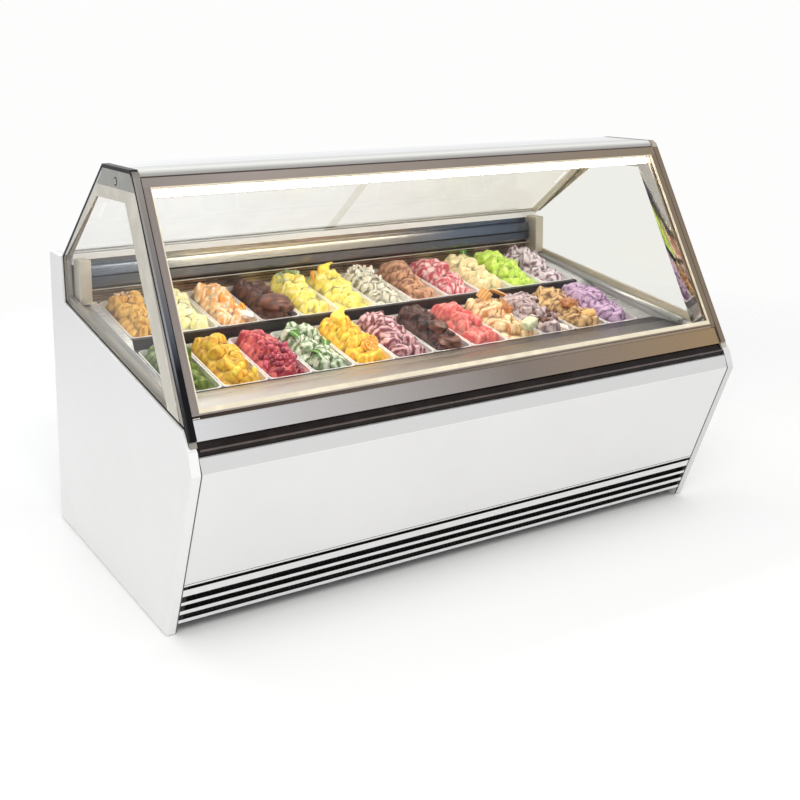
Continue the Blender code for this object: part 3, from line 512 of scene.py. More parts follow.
def tube(name, points, radius, sides=10):
    """A round pipe through points, with closed ends."""
    curve = bpy.data.curves.new(name, "CURVE")
    curve.dimensions = "3D"
    curve.bevel_depth = radius
    curve.bevel_resolution = max(1, sides // 4)
    curve.use_fill_caps = True
    curve.resolution_u = 6
    spline = curve.splines.new("NURBS")
    spline.points.add(len(points) - 1)
    for point, place in zip(spline.points, points):
        point.co = (*place, 1.0)
    spline.use_endpoint_u = True
    spline.order_u = 3
    shape = add_object(name, curve)
    graph = bpy.context.evaluated_depsgraph_get()
    mesh = bpy.data.meshes.new_from_object(shape.evaluated_get(graph))
    bpy.data.objects.remove(shape)
    bpy.data.curves.remove(curve)
    return add_object(name, mesh)


# ---------------------------------------------------------------- end panes and corner posts
GASKET = moulded("gasket_rubber", (0.004, 0.004, 0.004), 0.45, 1600.0, 0.1, Specular_IOR_Level=0.2)
PRINT_BEIGE = moulded("print_beige", (0.55, 0.51, 0.42), 0.22, 700.0, 0.01, Coat_Weight=0.3,
    Coat_Roughness=0.03)
PRINT_GREY = moulded("print_grey", (0.24, 0.24, 0.21), 0.22, 700.0, 0.01, Coat_Weight=0.3,
    Coat_Roughness=0.03)
MIRROR = brushed_metal("print_mirror", (0.74, 0.72, 0.69), 0.05, streak=0.02, tone=0.03)
# Painted highlight: cream stands for the lamp's light on the front frame's inner edge.
CREAM_HIGHLIGHT = moulded("edge_cream", (0.74, 0.66, 0.50), 0.35, 900.0, 0.05)
SILVER = brushed_metal("silver_edge", (0.80, 0.79, 0.77), 0.22, along="Y")
# Painted reflection along the rear band: blue-grey and dark at the ends, cream left of the middle.
BAND_TOP_REFLECTION_TONES = [(-1.02, (0.17, 0.20, 0.25)), (-0.80, (0.24, 0.26, 0.29)), (-0.62, (0.70, 0.66, 0.56)),
    (-0.2, (0.62, 0.55, 0.43)),
                  (0.25, (0.42, 0.38, 0.33)), (0.6, (0.16, 0.19, 0.25)), (1.02, (0.08, 0.10, 0.14))]
BAND_TOP_METAL = brushed_metal("air_band_metal", (0.5, 0.5, 0.5), 0.26, 0.8, tones=BAND_TOP_REFLECTION_TONES,
    streak=0.05, tone=0.04)
# Painted reflection along the outlet ribs: grey in the middle, dark blue-grey at the ends.
BAND_RIB_REFLECTION_TONES = [(-1.02, (0.10, 0.12, 0.15)), (-0.6, (0.34, 0.34, 0.33)), (0.1, (0.29, 0.27, 0.26)),
    (0.6, (0.19, 0.21, 0.25)),
                  (1.02, (0.09, 0.11, 0.14))]
BAND_RIB_METAL = brushed_metal("air_rib_metal", (0.3, 0.3, 0.3), 0.24, 0.85, tones=BAND_RIB_REFLECTION_TONES,
    streak=0.05, tone=0.04)
# Painted reflection on the left post and its edge: black up to about knee height, lighter upwards.
POST_LEFT_REFLECTION_TONES = [(0.66, (0.008, 0.008, 0.009)), (0.86, (0.010, 0.010, 0.012)), (0.97, (0.13, 0.14, 0.17)),
    (1.15, (0.28, 0.26, 0.25)),
              (1.40, (0.40, 0.36, 0.33))]
POST_LEFT = brushed_metal("post_left", (0.3, 0.3, 0.3), 0.30, 0.8, "Z", 0.04, tones=POST_LEFT_REFLECTION_TONES, axis="Z")
POST_EDGE_REFLECTION_TONES = [(0.66, (0.010, 0.010, 0.011)), (0.80, (0.06, 0.06, 0.065)), (0.92, (0.36, 0.38, 0.41)),
    (1.15, (0.42, 0.40, 0.38)),
              (1.40, (0.44, 0.40, 0.37))]
POST_EDGE = brushed_metal("post_edge", (0.4, 0.4, 0.4), 0.30, 0.8, "Z", 0.04, tones=POST_EDGE_REFLECTION_TONES, axis="Z")
# Painted reflection: the right post, its edge and the right stile are painted brown.
POST_RIGHT_BROWN_REFLECTION = brushed_metal("post_right", (0.30, 0.23, 0.16), 0.3, 0.8, along="Z", streak=0.04)
STILE = brushed_metal("stile_champagne", (0.38, 0.32, 0.29), 0.38, 0.8, "Z", 0.05)
BEIGE = brushed_metal("beige_trim", (0.62, 0.56, 0.45), 0.36, 0.6)
# Painted reflection along the light sill strips: light at the left end, dark at the right.
SILL_LIGHT_REFLECTION_TONES = [(-1.06, (0.80, 0.76, 0.73)), (-0.5, (0.52, 0.46, 0.41)), (0.1, (0.26, 0.215, 0.17)),
    (1.06, (0.20, 0.19, 0.19))]
SILL_LIGHT = brushed_metal("sill_light", (0.5, 0.5, 0.5), 0.34, 0.6, tones=SILL_LIGHT_REFLECTION_TONES, streak=0.04,
    tone=0.04)
# Painted reflection along the beige sill strip: beige at the left end, near-black at the right.
SILL_BEIGE_REFLECTION_TONES = [(-1.06, (0.60, 0.53, 0.43)), (-0.2, (0.40, 0.34, 0.27)), (0.3, (0.14, 0.13, 0.13)),
    (1.06, (0.05, 0.05, 0.06))]
SILL_BEIGE = brushed_metal("sill_beige", (0.5, 0.45, 0.4), 0.32, 0.6, tones=SILL_BEIGE_REFLECTION_TONES, streak=0.04,
    tone=0.04)
# Painted shade: dark strips set in the gaps along the sill and under the outlet blade.
PAINTED_SHADE_DARK = brushed_metal("painted_shade_dark", (0.06, 0.05, 0.045), 0.30, 0.8)
# Painted shade: a dark strip fills the gap under the front glass, browner towards the right as painted
# reflection.
FASCIA_GAP_SHADE_TONES = [(-1.09, (0.045, 0.028, 0.02)), (-0.3, (0.16, 0.12, 0.09)), (0.3, (0.34, 0.28, 0.23)),
    (1.09, (0.40, 0.29, 0.18))]
FASCIA_GAP_SHADE = brushed_metal("fascia_gap_shade", (0.1, 0.07, 0.05), 0.5, 0.7, tones=FASCIA_GAP_SHADE_TONES, streak=0.04,
    tone=0.04)
SEAM = moulded("seam_rubber", (0.055, 0.055, 0.06), 0.5, 1600.0, 0.1)
LED_STRIP = lamp_look("led_strip", (1.0, 0.965, 0.88), 9.0)
# Painted shade for the gap under the lid's nose.
GAP_PAINTED_SHADE = moulded("gap_painted_shade", (0.045, 0.028, 0.024), 0.45, 1600.0, 0.1)
# Painted highlight: the bumper's bead is a lighter brown than the black bumper.
BUMPER_BEAD_HIGHLIGHT = moulded("bumper_highlight_bead", (0.075, 0.055, 0.048), 0.25, 300.0, 0.02, Coat_Weight=0.2)
RAIL = brushed_metal("ledge_rail", (0.40, 0.40, 0.39), 0.32, 0.8, along="Y", streak=0.05, tone=0.05)
MESH = moulded("filter_mesh", (0.010, 0.010, 0.011), 0.6)

END_OUTLINE = [TOE, GLASS_FRONT_LOW, GLASS_REAR_LOW, SHELF_FRONT, LID_REAR, LID_FRONT, LID_NOSE]
BAND = 0.110            # width of the printed band along the front of each end pane
CAP_LINE = 1.353        # lower edge of the grey cap
BAND_TOP = 1.311        # lower edge of the beige band under the cap


def door_line(z, back):
    """y on a line parallel to the front glass plane, set back by a distance, at a height."""
    foot = on_door(0.0, -back)
    return foot.x + (z - foot.y) * DOOR_UP.x / DOOR_UP.y


def mirrored(sign, low, high):
    """An x range on one end of the cabinet, in rising order."""
    return sorted((sign * low, sign * high))


def end_trim():
    glass = [
        GLASS_FRONT_LOW + (GLASS_REAR_LOW - GLASS_FRONT_LOW) * 0.022, GLASS_REAR_LOW, SHELF_FRONT,
        LID_REAR, LID_FRONT + Vector((0.003, 0.0)),
    ]
    edge = inset(glass, [0.0060, 0.0085, 0.0110, 0.0120, 0.004])
    for side, sign in (("left", -1), ("right", 1)):
        low, high = mirrored(sign, END_OUT - 0.0002, END_OUT + 0.0016)
        outer = inset(END_OUTLINE, [0.0004] * 7)
        inner = inset(END_OUTLINE, [0.0035, 0.0065, 0.0090, 0.0115, 0.0125, 0.0080, 0.0060])
        ring = rounded(loop_plate(f"{side}_gasket", outer, inner, low, high), 0.0006, 2)
        finish_piece(ring, GASKET)

        low, high = mirrored(sign, END_OUT + 0.0002, END_OUT + 0.0007)
        split_front = door_line(CAP_LINE, 0.004)
        split_rear = LID_REAR.x - (LID_REAR.y - CAP_LINE) * REAR_DOWN.x / REAR_DOWN.y - 0.007
        cap = [
            Vector((split_front, CAP_LINE)), Vector((split_rear, CAP_LINE - 0.002)), edge[3], edge[4],
        ]
        plate = rounded(swept(f"{side}_cap_print", cap, low, high), 0.0002, 1)
        finish_piece(plate, PRINT_GREY)
        band = [
            Vector((split_front, CAP_LINE - 0.0006)), edge[0], Vector((-0.474, 0.7285)),
            Vector((-0.468, 0.747)),
            Vector((door_line(BAND_TOP, BAND), BAND_TOP + 0.002)), Vector((0.108, BAND_TOP - 0.004)),
            on_rear(0.570, -0.024), on_rear(0.590, -0.009), Vector((split_rear, CAP_LINE - 0.0026)),
        ]
        plate = rounded(swept(f"{side}_band_print", band, low, high), 0.0002, 1)
        finish_piece(plate, PRINT_BEIGE)

        low, high = mirrored(sign, END_IN - 0.0030, END_IN - 0.0008)
        lining = [
            on_door(0.075, -0.030), on_door(0.110, -BAND), Vector((door_line(BAND_TOP, BAND), BAND_TOP)),
            Vector((0.108, BAND_TOP - 0.004)), Vector((0.150, 1.322)), Vector((0.052, 1.394)),
            on_door(0.815, -0.045), on_door(0.815, -0.030),
        ]
        plate = rounded(swept(f"{side}_mirror_lining", lining, low, high), 0.0005, 2)
        finish_piece(plate, MIRROR)

        low, high = mirrored(sign, END_OUT + 0.0002, END_OUT + 0.0012)
        strip = [on_rear(0.020, -0.0118), on_rear(0.586, -0.0118), on_rear(0.590, -0.0175),
            on_rear(0.030, -0.0175)]
        plate = rounded(swept(f"{side}_rear_edge_strip", strip, low, high), 0.0004, 2)
        finish_piece(plate, SILVER)


def stile_profile(name, centre, half, up_low, up_high, grooves, height, mirror=1):
    """A strip on the front glass plane with rounded ridges across it; grooves are (start, end, rise)."""
    section = [(-half, 0.0)]
    steps = 5
    for start, end, rise in grooves:
        for k in range(steps + 1):
            t = k / steps
            lift = height * rise * math.sin(math.pi * t) ** 0.6 + 0.0002
            section.append((start + (end - start) * t, lift))
    section += [(half, 0.0), (half, -0.0006), (-half, -0.0006)]
    rings = [[(centre + x * mirror, *on_door(up, out)) for x, out in section] for up in (up_low, up_high)]
    return skinned(name, rings)


def post_and_stile_trim():
    # The two ends take differently painted copies of the same metal: painted reflection, dark at the left
    # foot and brown at the right.
    for side, sign, material in (("left", -1, POST_LEFT), ("right", 1, POST_RIGHT_BROWN_REFLECTION)):
        centre = sign * (END_OUT + END_IN) / 2
        strip = stile_profile(f"{side}_post_face", centre, 0.0112, 0.022, 0.838, [(-0.0108, 0.0108, 1.0)],
            0.0022)
        finish_piece(strip, material, smooth_angle=60.0)
        edge = stile_profile(f"{side}_post_edge", sign * 1.0868, 0.0034, 0.022, 0.838,
            [(-0.0032, 0.0032, 1.0)], 0.0030)
        finish_piece(edge, POST_EDGE if sign < 0 else POST_RIGHT_BROWN_REFLECTION, smooth_angle=60.0)
        centre = sign * (DOOR_HALF - 0.012)
        grooves = [(-0.0116, -0.0075, 0.6), (-0.0068, 0.0050, 1.0), (0.0058, 0.0116, 0.8)]
        strip = stile_profile(f"{side}_stile_face", centre, 0.0119, 0.099, 0.8055, grooves, 0.0020, -sign)
        finish_piece(strip, STILE if sign < 0 else POST_RIGHT_BROWN_REFLECTION, "front_glass", 60.0)
        gap = stile_profile(f"{side}_post_gap", sign * 1.0664, 0.0009, 0.024, 0.836,
            [(-0.0008, 0.0008, 1.0)], 0.0008)
        finish_piece(gap, GASKET, smooth_angle=60.0)


def inner_edge_highlight():
    """Cream bead round the inside edge of the front glass frame; its cream is a painted highlight of the
    lamp's light on that edge.
    """
    inner, low, high = DOOR_HALF - 0.024, 0.0925 + 0.018, 0.838 - 0.032
    wide = 0.0048
    turns = (
        (0.0004, 0.0110, 0.0004), (-0.0016, 0.0080, 0.0014), (-0.0030, -0.0010, 0.0014),
        (-wide, -0.0048, -0.0030),
        (-wide, -0.0048, -0.0062), (0.0004, 0.0110, -0.0062),
    )
    rings = []
    for grow, grow_low, out in turns:
        foot, head = on_door(low - grow_low, out), on_door(high + grow, out)
        half = inner + grow
        rings.append([(-half, *foot), (half, *foot), (half, *head), (-half, *head)])
    finish_piece(skinned("inner_edge_highlight", rings, closed=True), CREAM_HIGHLIGHT, "front_glass")


# ---------------------------------------------------------------- inside trim
def ledge_rail(side, sign):
    """Ridged rail that climbs the end of the deck."""
    front, rear = Vector((-0.446, 0.726)), Vector((0.494, 0.872))
    along = (rear - front).normalized()
    above = Vector((-along.y, along.x))
    section = [(-0.0170, -0.003)]
    for k in range(5):
        start = -0.0165 + k * 0.0066
        for t in range(5):
            section.append((start + 0.0060 * t / 4, 0.009 + 0.0024 * math.sin(math.pi * t / 4)))
    section.append((0.0168, -0.003))
    rings = []
    for run, shrink in ((0.0, 0.6), (0.004, 1.0), ((rear - front).length, 1.0)):
        ring = []
        for across, height in section:
            p = front + along * run + above * (height * shrink)
            ring.append((sign * (1.0460 + across * shrink), p.x, p.y))
        rings.append(ring)
    finish_piece(skinned(f"{side}_ledge_rail", rings), RAIL, smooth_angle=60.0)


def inside_trim():
    """Rails and rear columns at the ends, and the bands along the rear wall."""
    for side, sign in (("left", -1), ("right", 1)):
        ledge_rail(side, sign)
        low, high = mirrored(sign, 1.0215, 1.0640)
        plan = box_outline(low, 0.4200, high, 0.4970)
        column = rounded(swept(f"{side}_rear_column", plan, 0.876, 1.0375, "Z"), 0.003, 3)
        finish_piece(column, BEIGE)

    half, slot = 1.018, "blue_grey_trim"
    blade = [(0.4640, 0.9720), (0.4700, 0.9700), (0.4760, 1.0040), (0.4950, 1.0125), (0.4930, 1.0132),
        (0.4730, 1.0060)]
    trim_strip("air_outlet_blade", blade, half, BAND_TOP_METAL, 0.0006)
    # Painted shade: a dark strip in the gap under the outlet blade.
    shade = rounded(swept("air_outlet_gap_shade", box_outline(0.4680, 0.9672, 0.4700, 0.9698), -half, half),
        0.0004, 1)
    finish_piece(shade, PAINTED_SHADE_DARK)
    ribs = [(0.4700, 0.9350)]
    for k in range(5):
        low = 0.9355 + k * 0.0062
        ribs += [(0.4676, low), (0.4664, low + 0.0012), (0.4664, low + 0.0040), (0.4676, low + 0.0052)]
    ribs += [(0.4700, 0.9665)]
    finish_piece(swept("air_outlet_ribs", ribs, -half, half), BAND_RIB_METAL, smooth_angle=25.0)
    edge = [(0.4650, 0.9165), (0.4700, 0.9165), (0.4700, 0.9200), (0.4655, 0.9200)]
    trim_strip("air_return_edge", edge, half, BEIGE, 0.0006)
    band = [(0.4955, 1.0135), (0.4978, 1.0135), (0.4978, 1.0418), (0.4955, 1.0418)]
    band += [(0.4948, 1.0390), (0.4955, 1.0360), (0.4948, 1.0200), (0.4955, 1.0170)]
    finish_piece(swept("worktop_front_band", band, -1.019, 1.019), BAND_TOP_METAL)


def trim_strip(name, section, half, material, width=0.0004):
    """A strip the length of the cabinet with a (y, z) section."""
    return finish_piece(rounded(swept(name, section, -half, half), width, 2), material)


def front_sill_trim():
    """Strips between the front pans and the front glass, and a dark strip of painted shade in the gap under
    the glass.
    """
    sills = (
        ("sill_beige", -0.352, -0.3000, 0.7138, 0.7140, 0.0008, SILL_BEIGE),
        ("sill_shadow_line", -0.2995, -0.2865, 0.7136, 0.7138, 0.0007, PAINTED_SHADE_DARK),
        ("sill_light_band", -0.470, -0.3530, 0.7138, 0.7138, 0.0008, SILL_LIGHT),
    )
    for name, front, back, z_front, z_back, thick, material in sills:
        section = [(front, z_front), (back, z_back), (back, z_back - thick), (front, z_front - thick)]
        trim_strip(name, section, 1.058, material)
    lip = door_outline(0.1000, 0.1150, -0.0300, -0.0420)
    trim_strip("sill_front_lip", lip, 1.058, SILL_LIGHT, 0.002)
    # Painted shade: a dark strip in the gap between the fascia and the front glass.
    trim_strip("fascia_gap_shade_strip", door_outline(0.0835, 0.0921, 0.0009, -0.0060), 1.040, FASCIA_GAP_SHADE)
    under = door_outline(0.0890, 0.0918, 0.0004, -0.0060)
    for side, sign in (("left", -1), ("right", 1)):
        end = rounded(swept(f"{side}_fascia_gap_shade_end", under, *mirrored(sign, 1.0405, 1.064)), 0.0004, 2)
        finish_piece(end, FASCIA_GAP_SHADE)


def led_strip():
    """Slim lit profile behind the head of the front glass, with its aluminium channel."""
    glow = door_outline(0.7860, 0.8300, -0.0290, -0.0350)
    trim_strip("led_strip_diffuser", glow, 1.040, LED_STRIP, 0.002)
    back = door_outline(0.7840, 0.8340, -0.0352, -0.0400)
    trim_strip("led_strip_channel", back, 1.042, LID, 0.0008)


def lid_trim():
    """Dark strip of painted shade in the gap under the lid's nose."""
    trim_strip("lid_gap_painted_shade", door_outline(0.8385, 0.8445, -0.0040, -0.0200), 1.064, GAP_PAINTED_SHADE)


def bumper_trim():
    """Raised bead on the bumper's face; its lighter brown is a painted highlight line."""
    face = min(v.co.y for v in NODES["bumper_rail"].data.vertices)
    profile = ((-0.0012, 0.6480), (-0.0024, 0.6500), (-0.0024, 0.6520), (-0.0012, 0.6540), (0.002, 0.6545),
        (0.002, 0.6475))
    bead = [(face + out, z) for out, z in profile]
    trim_strip("bumper_highlight_bead", bead, 1.062, BUMPER_BEAD_HIGHLIGHT, 0.0003)


def seam_strips():
    """Dark seams between the front panels and the end panels."""
    bends = ((-0.4296, 0.008), (-0.6696, 0.587), (-0.6441, 0.6490))
    for side, sign in (("left", -1), ("right", 1)):
        low, high = mirrored(sign, 1.0668, 1.0716)
        rings = [[(low, y, z), (high, y, z), (high, y + 0.004, z), (low, y + 0.004, z)] for y, z in bends]
        finish_piece(rounded(skinned(f"{side}_panel_seam", rings), 0.0003, 1), SEAM)


def louvre_filter():
    """Pleated dark filter behind the grille's slots."""
    low, high, half, pitch = 0.043, 0.187, 1.064, 0.008
    lean = -0.414
    count = int(2 * half / pitch)
    bm = bmesh.new()
    columns = []
    for k in range(count + 1):
        x = -half + k * pitch
        depth = 0.004 if k % 2 else 0.0
        pair = []
        for z in (low, high):
            y = -0.410 + lean * (z - 0.003) + depth
            pair.append((bm.verts.new((x, y, z)), bm.verts.new((x, y + 0.0015, z))))
        columns.append(pair)
    for a, b in zip(columns, columns[1:]):
        bm.faces.new((a[0][0], b[0][0], b[1][0], a[1][0]))
        bm.faces.new((a[0][1], a[1][1], b[1][1], b[0][1]))
        bm.faces.new((a[0][0], a[0][1], b[0][1], b[0][0]))
        bm.faces.new((a[1][0], b[1][0], b[1][1], a[1][1]))
    for end in (columns[0], columns[-1]):
        bm.faces.new((end[0][0], end[0][1], end[1][1], end[1][0]))
    finish_piece(from_bmesh("louvre_filter", bm), MESH)


end_trim()
post_and_stile_trim()
inner_edge_highlight()
inside_trim()
front_sill_trim()
led_strip()
lid_trim()
bumper_trim()
seam_strips()
louvre_filter()


# ---------------------------------------------------------------- ice cream
HEAP_HALF = 0.0722
HEAP_START = 0.0100
HEAP_LENGTH = 0.3420
HEAP_CORNER = 0.046
HEAP_DEPTH = -0.100
HEAP_GRID = (75, 171)        # points across and along one heap
MOUND_STATIONS = (0.0, 0.06, 0.18, 0.45, 0.72, 0.90, 1.0)
MOUND_SHARES = (0.0, 0.12, 0.26, 0.50, 0.74, 0.60, 0.05)


def srgb(*levels):
    """Linear colour for 0-255 display levels."""
    return tuple((v / 255 / 12.92) if v <= 10 else ((v / 255 + 0.055) / 1.055) ** 2.4 for v in levels)


def gelato_look(name, light, dark, share=0.5, roughness=0.40, sharp=0.26):
    """Ice cream with a second colour rippled through it along the folds, and painted shade in its creases
    and hollows.
    """
    look = Look(name, light, roughness, Coat_Weight=0.25, Coat_Roughness=0.25)
    tone = look.attribute("tone")
    fold_shade = look.attribute("fold_shade")
    swirl = look.noise(16.0, (1.6, 0.8, 1.0), 3.0, 0.55, 2.2)
    mixed = look.math("ADD", look.math("MULTIPLY", tone, 0.30), look.math("MULTIPLY", swirl, 0.95))
    edge = 0.42 + 0.42 * (1.0 - share)
    two = look.mix(look.range(mixed, edge - sharp / 2, edge + sharp / 2), light, dark)
    cloud = look.range(look.noise(70.0, detail=3.0), 0.35, 0.7)
    soft = look.mix(cloud, (1.0, 1.0, 1.0), (0.86, 0.84, 0.82))
    base = look.mix(1.0, two, soft, "MULTIPLY")
    # Painted shade: creases and hollows of the heap take a darkened ripple colour.
    crease_shade_colour = tuple(0.26 * c for c in dark)
    look.paint(look.mix(look.range(fold_shade, 0.04, 0.80, 0.0, 1.0), crease_shade_colour, base))
    look.set(Roughness=look.range(cloud, 0.0, 1.0, roughness - 0.06, roughness + 0.12))
    look.bump(look.noise(330.0, detail=2.0, rough=0.6), 0.30, 0.0008)
    look.bump(look.noise(90.0, (1.0, 0.6, 1.0), 3.0, 0.6, 0.6), 0.30, 0.0025)
    return look.material


def blurred(field, reach):
    """Box-blurs a grid twice."""
    for _ in range(2):
        for axis in (0, 1):
            pad = [(reach, reach) if a == axis else (0, 0) for a in (0, 1)]
            total = np.cumsum(np.pad(field, pad, mode="edge"), axis=axis)
            total = np.concatenate((np.zeros_like(np.take(total, [0], axis=axis)), total), axis=axis)
            width = 2 * reach + 1
            high = np.take(total, range(width, total.shape[axis]), axis=axis)
            low = np.take(total, range(0, total.shape[axis] - width), axis=axis)
            field = (high - low) / width
    return field


class Heap:
    """Height field of one heap over its pan: overlapping spatula lobes on a rising mound."""

    def __init__(self, seed, peak=0.072, lobes=15, size=1.0, ribs=0.5, twist=0.7):
        rng = random.Random(seed)
        across, along = HEAP_GRID
        self.u = np.linspace(-1.0, 1.0, across)[:, None] * np.ones((1, along))
        self.v = np.ones((across, 1)) * np.linspace(0.0, 1.0, along)[None, :]
        near_end = np.minimum(self.v, 1.0 - self.v) * HEAP_LENGTH
        miss = np.maximum(0.0, HEAP_CORNER - near_end)
        self.half = HEAP_HALF - (HEAP_CORNER - np.sqrt(np.maximum(0.0, HEAP_CORNER ** 2 - miss ** 2)))
        self.x = self.u * self.half
        self.y = HEAP_START + self.v * HEAP_LENGTH
        rim = -0.022 + 0.012 * self.v
        heights = [peak * share for share in MOUND_SHARES]
        mound = np.interp(self.v, MOUND_STATIONS, heights)
        ground = rim + mound * (1.0 - np.abs(self.u) ** 2.6)

        wave = [rng.uniform(0.0, 2.0 * math.pi) for _ in range(8)]
        warp_x = self.x + 0.0045 * np.sin(self.y * 95.0 + wave[0] + 2.0 * np.sin(self.x * 70.0 + wave[1]))
        warp_x += 0.0018 * np.sin(self.y * 260.0 + wave[2] + self.x * 120.0)
        warp_y = self.y + 0.0060 * np.sin(self.x * 90.0 + wave[3] + 2.0 * np.sin(self.y * 60.0 + wave[4]))
        warp_y += 0.0020 * np.sin(self.x * 280.0 + wave[5] - self.y * 90.0)

        top = ground.copy()
        second = ground.copy() - 0.01
        tone = 0.5 + 0.5 * np.sin(warp_y * 160.0 + wave[6])
        lobes = max(8, round(lobes * 0.78))
        for k in range(lobes):
            share = (k + 0.5) / lobes
            centre_v = 0.93 - 0.86 * share + rng.uniform(-0.03, 0.03)
            side = (1 if k % 2 else -1) * rng.uniform(0.05, 0.62)
            centre_x = side * (HEAP_HALF - 0.018)
            centre_y = HEAP_START + centre_v * HEAP_LENGTH
            turn = rng.uniform(-1.35 * twist, 1.35 * twist)
            wide = rng.uniform(0.022, 0.040) * size
            long = rng.uniform(0.032, 0.062) * size
            tall = rng.uniform(0.026, 0.048) * size
            floor = float(np.interp(centre_v, MOUND_STATIONS, heights)) * (1.0 - abs(side) ** 2.6) - 0.017
            p = (warp_x - centre_x) * math.cos(turn) + (warp_y - centre_y) * math.sin(turn)
            q = -(warp_x - centre_x) * math.sin(turn) + (warp_y - centre_y) * math.cos(turn)
            q = np.where(q < 0.0, q * 1.45, q * 0.85)
            reach = (p / wide) ** 2 + (q / long) ** 2
            rib_step = rng.uniform(0.0065, 0.011)
            phase = rng.uniform(0.0, 2.0 * math.pi)
            ridges = np.sin(2.0 * math.pi * (p + 0.25 * q) / rib_step + phase)
            deep = ribs * rng.uniform(0.2, 1.0) * 0.0018
            lean = rng.uniform(-0.42, 0.42)
            lip = 0.80 + 0.30 * np.clip(-q / long, -0.7, 1.0)
            dome = np.maximum(0.0, 1.0 - reach) ** 0.55
            curl = rng.uniform(55.0, 100.0)
            flake = 1.0 - np.abs(np.sin(p * curl + 0.6 * np.sin(q * 130.0 + phase) + phase))
            body = tall * lip * (1.0 + lean * p / wide) + deep * ridges + 0.0062 * flake
            lobe = floor - 0.005 + body * dome
            lobe = np.where(reach < 1.0, lobe, -1.0)
            streak = 0.5 + 0.5 * np.sin(2.0 * math.pi * (p + 0.3 * q) / (rib_step * 2.6) + phase)
            winner = lobe > top
            second = np.where(winner, top, np.maximum(second, lobe))
            tone = np.where(winner, streak, tone)
            top = np.where(winner, lobe, top)
        gap = np.clip((top - second) / 0.0060, 0.0, 1.0)
        crease = gap * gap * (3.0 - 2.0 * gap)
        self.tone = tone

        inside = np.minimum((1.0 - np.abs(self.u)) * self.half, near_end)
        settle = np.clip(inside / 0.017, 0.0, 1.0) ** 0.7
        fine = 0.0006 * np.sin(self.x * 700.0 + wave[7]) * np.sin(self.y * 620.0 + wave[0])
        self.z = rim + (np.maximum(top, rim - 0.002) - rim) * settle + fine * settle
        # Painted shade: a factor that falls in the creases between lobes and in the hollows of the surface.
        hollow = np.clip((blurred(self.z, 5) - self.z) / 0.0075, -0.6, 1.0)
        broad = np.clip((blurred(self.z, 14) - self.z) / 0.020, -0.5, 1.0)
        self.fold_shade = np.clip(0.35 + 0.65 * crease - 0.55 * hollow - 0.40 * broad, 0.0, 1.0)
        drift = np.clip((self.z - rim) / 0.05, 0.0, 1.4) * settle
        self.y = self.y - 0.0075 * drift
        self.x = self.x + 0.0020 * drift * np.sin(self.y * 60.0 + wave[1])

    def height(self, x, y):
        """Surface height at a pan-local place."""
        i = int(np.clip(round((x / HEAP_HALF + 1.0) / 2.0 * (HEAP_GRID[0] - 1)), 1, HEAP_GRID[0] - 2))
        j = int(np.clip(round((y - HEAP_START) / HEAP_LENGTH * (HEAP_GRID[1] - 1)), 1, HEAP_GRID[1] - 2))
        return float(self.z[i, j])

    def build(self, name):
        across, along = HEAP_GRID
        points = np.stack((self.x, self.y, self.z), axis=-1).reshape(-1, 3)
        index = np.arange(across * along).reshape(across, along)
        a, b = index[:-1, :-1].ravel(), index[1:, :-1].ravel()
        c, d = index[1:, 1:].ravel(), index[:-1, 1:].ravel()
        quads = np.stack((a, b, c, d), axis=-1)
        rim = np.concatenate((index[:, 0], index[-1, 1:], index[-2::-1, -1], index[0, -2:0:-1]))
        low = points[rim].copy()
        middle = HEAP_START + HEAP_LENGTH / 2
        low[:, 0] *= 0.925
        low[:, 1] = middle + (low[:, 1] - middle) * 0.955
        low[:, 2] = HEAP_DEPTH
        floor = np.array([[0.0, middle, HEAP_DEPTH]])
        first = len(points)
        ring = first + np.arange(len(rim))
        skirt = np.stack((rim, ring, np.roll(ring, -1), np.roll(rim, -1)), axis=-1)
        centre = first + len(rim)
        fan = np.stack((ring, np.full(len(ring), centre), np.roll(ring, -1)), axis=-1)
        mesh = bpy.data.meshes.new(name)
        everything = np.concatenate((points, low, floor))
        faces = quads.tolist() + skirt.tolist() + fan.tolist()
        mesh.from_pydata(everything.tolist(), [], faces)
        extra = len(everything) - across * along
        for key, values in (("tone", self.tone), ("fold_shade", self.fold_shade)):
            layer = mesh.attributes.new(key, "FLOAT", "POINT")
            padded = np.concatenate((values.ravel(), np.full(extra, 0.5)))
            layer.data.foreach_set("value", padded.astype(np.float32))
        mesh.update()
        return add_object(name, mesh)


def pan_matrix(row, number):
    """Frame of one pan: origin at the middle of its rim's front edge, y up the row, z out of the rim."""
    y, z = ROW_FRONTS[row]
    x = (number - (PAN_COUNT + 1) / 2) * PAN_PITCH
    return Matrix.Translation((x, y, z)) @ Matrix.Rotation(ROW_TILT, 4, "X")


def in_pan(item, row, number, place=(0.0, 0.0, 0.0), turn=(0.0, 0.0, 0.0)):
    """Bakes a piece's place in a pan into its mesh."""
    local = Matrix.Translation(place)
    for angle, axis in zip(turn, "XYZ"):
        local = local @ Matrix.Rotation(math.radians(angle), 4, axis)
    item.data.transform(pan_matrix(row, number) @ local)
    item.data.update()
    return item


